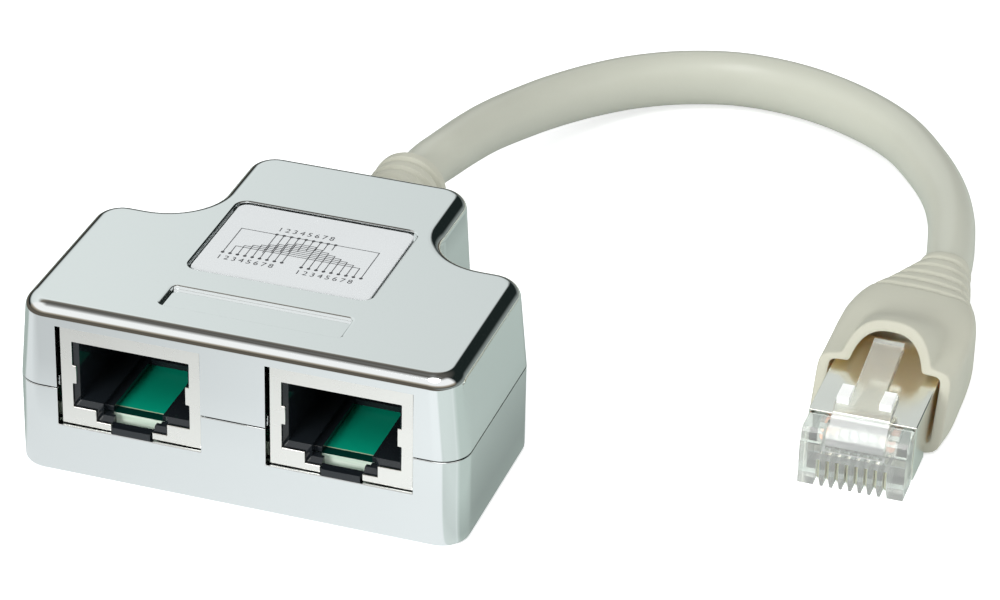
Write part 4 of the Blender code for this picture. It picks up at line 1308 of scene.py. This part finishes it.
# Floor and light. A white sweep under the part, white to the camera and to glass, with
# a dim room beyond it that the plating mirrors as dark lines along its edges.
table = bpy.data.meshes.new("white_sweep")
reach = 1.6
table.from_pydata(
    [(-reach, -reach, 0), (reach, -reach, 0), (reach, reach, 0), (-reach, reach, 0)],
    [],
    [(0, 1, 2, 3)],
)
white_sweep = add_object("white_sweep", table)
white_sweep.location.z = -0.02 * mm


def ramp(tree, value, low, high, stops):
    """Colours, or plain greys, at stops along a value's range."""
    node = add_node(tree, "ValToRGB", Fac=spread(tree, value, low, high))
    elements = node.color_ramp.elements
    while len(elements) < len(stops):
        elements.new(0.5)
    for element, (place, colour) in zip(elements, stops):
        element.position = (place - low) / (high - low)
        tone = colour if isinstance(colour, tuple) else (colour, colour, colour)
        element.color = (*tone, 1)
    return node.outputs["Color"]


def ray_masks(tree):
    """Two masks: rays that mirrors send, and rays straight from the camera or through
    clear plastic."""
    rays = add_node(tree, "LightPath").outputs
    clear = calculate(tree, "MAXIMUM", rays["Is Camera Ray"], rays["Is Transmission Ray"])
    return rays["Is Glossy Ray"], clear


def lit_colour(tree, kind, colour, **links):
    """A plain shader of one colour."""
    return add_node(tree, kind, Color=colour, **links).outputs[0]


def sweep_material():
    """Matt white paper that still takes a shadow. In mirrors it shows a painted reflection near
    the part: a glow, brighter in front and towards the right, dimmer and greener beside the
    right side, with painted shade in a strip along the right wall. It ends a little way out
    from the part, and the dark room begins."""
    material, tree, shader = new_material("sweep_paper")
    tree.nodes.remove(shader)
    paper = lit_colour(tree, "BsdfDiffuse", (0.86, 0.87, 0.88, 1))
    glow = lit_colour(tree, "Emission", (1, 1, 1, 1), Strength=0.5)
    shown = add_node(tree, "AddShader", _0=paper, _1=glow).outputs[0]

    place = object_place(tree)
    spot = add_node(tree, "SeparateXYZ", Vector=place).outputs
    past = place
    for operation, amount in (
        ("SUBTRACT", (0.021, 0.034, 0.0)),
        ("ABSOLUTE", (0.0, 0.0, 0.0)),
        ("SUBTRACT", (0.045, 0.054, 0.0)),
        ("MAXIMUM", (0.0, 0.0, 0.0)),
    ):
        past = calculate(tree, operation, past, amount, kind="VectorMath")
    far = add_node(tree, "VectorMath", {"operation": "LENGTH"}, _0=past).outputs["Value"]
    smooth = {"interpolation_type": "SMOOTHSTEP"}
    on_paper = spread(tree, far, 0.040, 0.056, 1.0, 0.0, smooth)

    # Painted reflection: the glow that mirrors see in front of the part, stronger towards the
    # right.
    ahead = spread(tree, spot["X"], -0.032, 0.018, 0.53, 0.89)
    close = spread(tree, spot["Y"], -0.040, -0.028)
    nearer = calculate(tree, "MULTIPLY_ADD", ahead, 0.35, 0.53)
    front_painted_glow = blend(tree, close, ahead, nearer, "FLOAT")
    corner = calculate(tree, "SUBTRACT", place, (0.0225, -0.018, 0.0), kind="VectorMath")
    corner = add_node(tree, "SeparateXYZ", Vector=corner).outputs
    around = calculate(tree, "DEGREES", calculate(tree, "ARCTAN2", corner["Y"], corner["X"]))
    stops = (
        (-77, 1.0),
        (-70, 0.46),
        (-22, 0.46),
        (-16, 0.62),
        (-11, 0.34),
        (0, 0.0),
        (176, 0.0),
        (179, 1.0),
    )
    sector = ramp(tree, around, -180, 180, stops)
    # Painted shade in the mirrored glow: dimmest in a strip right against the housing's right
    # wall.
    stops = ((0.010, 0.10), (0.019, 0.19), (0.0235, 0.19), (0.0255, 0.07), (0.033, 0.22))
    side_painted_glow = ramp(tree, spot["X"], -0.1, 0.1, stops)
    share = blend(tree, sector, side_painted_glow, front_painted_glow, "FLOAT")
    albedo = blend(tree, sector, 0.33, 0.08, "FLOAT")
    tint = blend(tree, sector, (0.87, 1.0, 0.94, 1), (0.96, 1.0, 1.01, 1))
    lit, bright = [
        lit_colour(tree, kind, calculate(tree, "SCALE", tint, kind="VectorMath", Scale=amount))
        for kind, amount in (("BsdfDiffuse", albedo), ("Emission", share))
    ]
    near = add_node(tree, "AddShader", _0=lit, _1=bright).outputs[0]

    right = spread(tree, spot["X"], 0.05, 0.16)
    dim = blend(tree, right, (0.12, 0.105, 0.085, 1), (0.26, 0.29, 0.28, 1))
    mirrored = mix_shaders(tree, on_paper, lit_colour(tree, "Emission", dim), near)
    glossy, clear = ray_masks(tree)
    by_camera = mix_shaders(tree, clear, paper, shown)
    surface = mix_shaders(tree, glossy, by_camera, mirrored)
    fill(tree, tree.nodes["Material Output"], Surface=surface)
    return material


table.materials.append(sweep_material())


def studio_world():
    """White to the camera and through glass. Mirrors see a pale card behind on the
    left, black behind on the right, a dim ceiling and a broad white light in front.
    Matt surfaces see an even grey-white."""
    world = bpy.data.worlds.new("studio")
    bpy.context.scene.world = world
    world.use_nodes = True
    tree = world.node_tree
    tree.nodes.clear()
    direction = add_node(tree, "TexCoord").outputs["Generated"]
    parts = add_node(tree, "SeparateXYZ", Vector=direction).outputs
    height = calculate(tree, "DEGREES", calculate(tree, "ARCSINE", parts["Z"]))
    black = (0.012, 0.018, 0.017)
    haze = (0.26, 0.29, 0.28)
    ceiling = (0.10, 0.094, 0.084)
    overhead = (0.24, 0.24, 0.23)
    card_stops = (
        (-30, black),
        (8, black),
        (18, (0.74, 0.79, 0.78)),
        (44, (0.85, 0.895, 0.885)),
        (54, (0.22, 0.20, 0.17)),
        (66, ceiling),
        (82, overhead),
    )
    right_stops = ((-2, haze), (12, black), (45, black), (70, ceiling))
    ahead_stops = (
        (-8, (0.14, 0.13, 0.11)),
        (2, (0.09, 0.08, 0.065)),
        (8, (0.22, 0.19, 0.15)),
        (14, (0.42, 0.37, 0.30)),
        (23, 1.0),
        (54, 1.0),
        (70, ceiling),
        (84, overhead),
    )
    card, behind_right, ahead = [
        ramp(tree, height, -90, 90, stops)
        for stops in (card_stops, right_stops, ahead_stops)
    ]
    stops = ((-0.36, 0.0), (-0.26, 0.13), (-0.13, 0.15), (-0.02, 1.0))
    to_right = ramp(tree, parts["X"], -1, 1, stops)
    behind = blend(tree, to_right, card, behind_right)
    around = blend(tree, spread(tree, parts["Y"], -0.1, 0.1), ahead, behind)
    room = lit_colour(tree, "Background", around)
    even = lit_colour(tree, "Background", (0.98, 0.99, 1.0, 1), Strength=0.62)
    plain = lit_colour(tree, "Background", (1, 1, 1, 1), Strength=1.0)
    glossy, clear = ray_masks(tree)
    by_mirror = mix_shaders(tree, glossy, even, room)
    add_node(tree, "OutputWorld", Surface=mix_shaders(tree, clear, by_mirror, plain))


studio_world()


def soft_lamp(name, place, aim, size, power, mirrored):
    """A round soft box, shown to mirrors only where asked."""
    data = bpy.data.lights.new(name, "AREA")
    data.shape = "DISK"
    data.size = size
    data.energy = power
    lamp = add_object(name, data)
    lamp.location = place
    look = Vector(aim) - Vector(place)
    lamp.rotation_euler = look.to_track_quat("-Z", "Y").to_euler()
    lamp.visible_glossy = mirrored


part_middle = (0.02, 0.02, 0.0)
soft_lamp("key_softbox", (0.06, -0.40, 0.68), part_middle, 0.5, 2.35, True)
soft_lamp("front_softbox", (-0.16, -0.50, 0.22), part_middle, 0.22, 2.1, False)
soft_lamp("side_softbox", (0.55, 0.27, 0.17), part_middle, 0.3, 1.0, False)

view = bpy.context.scene.view_settings
view.view_transform = "Standard"
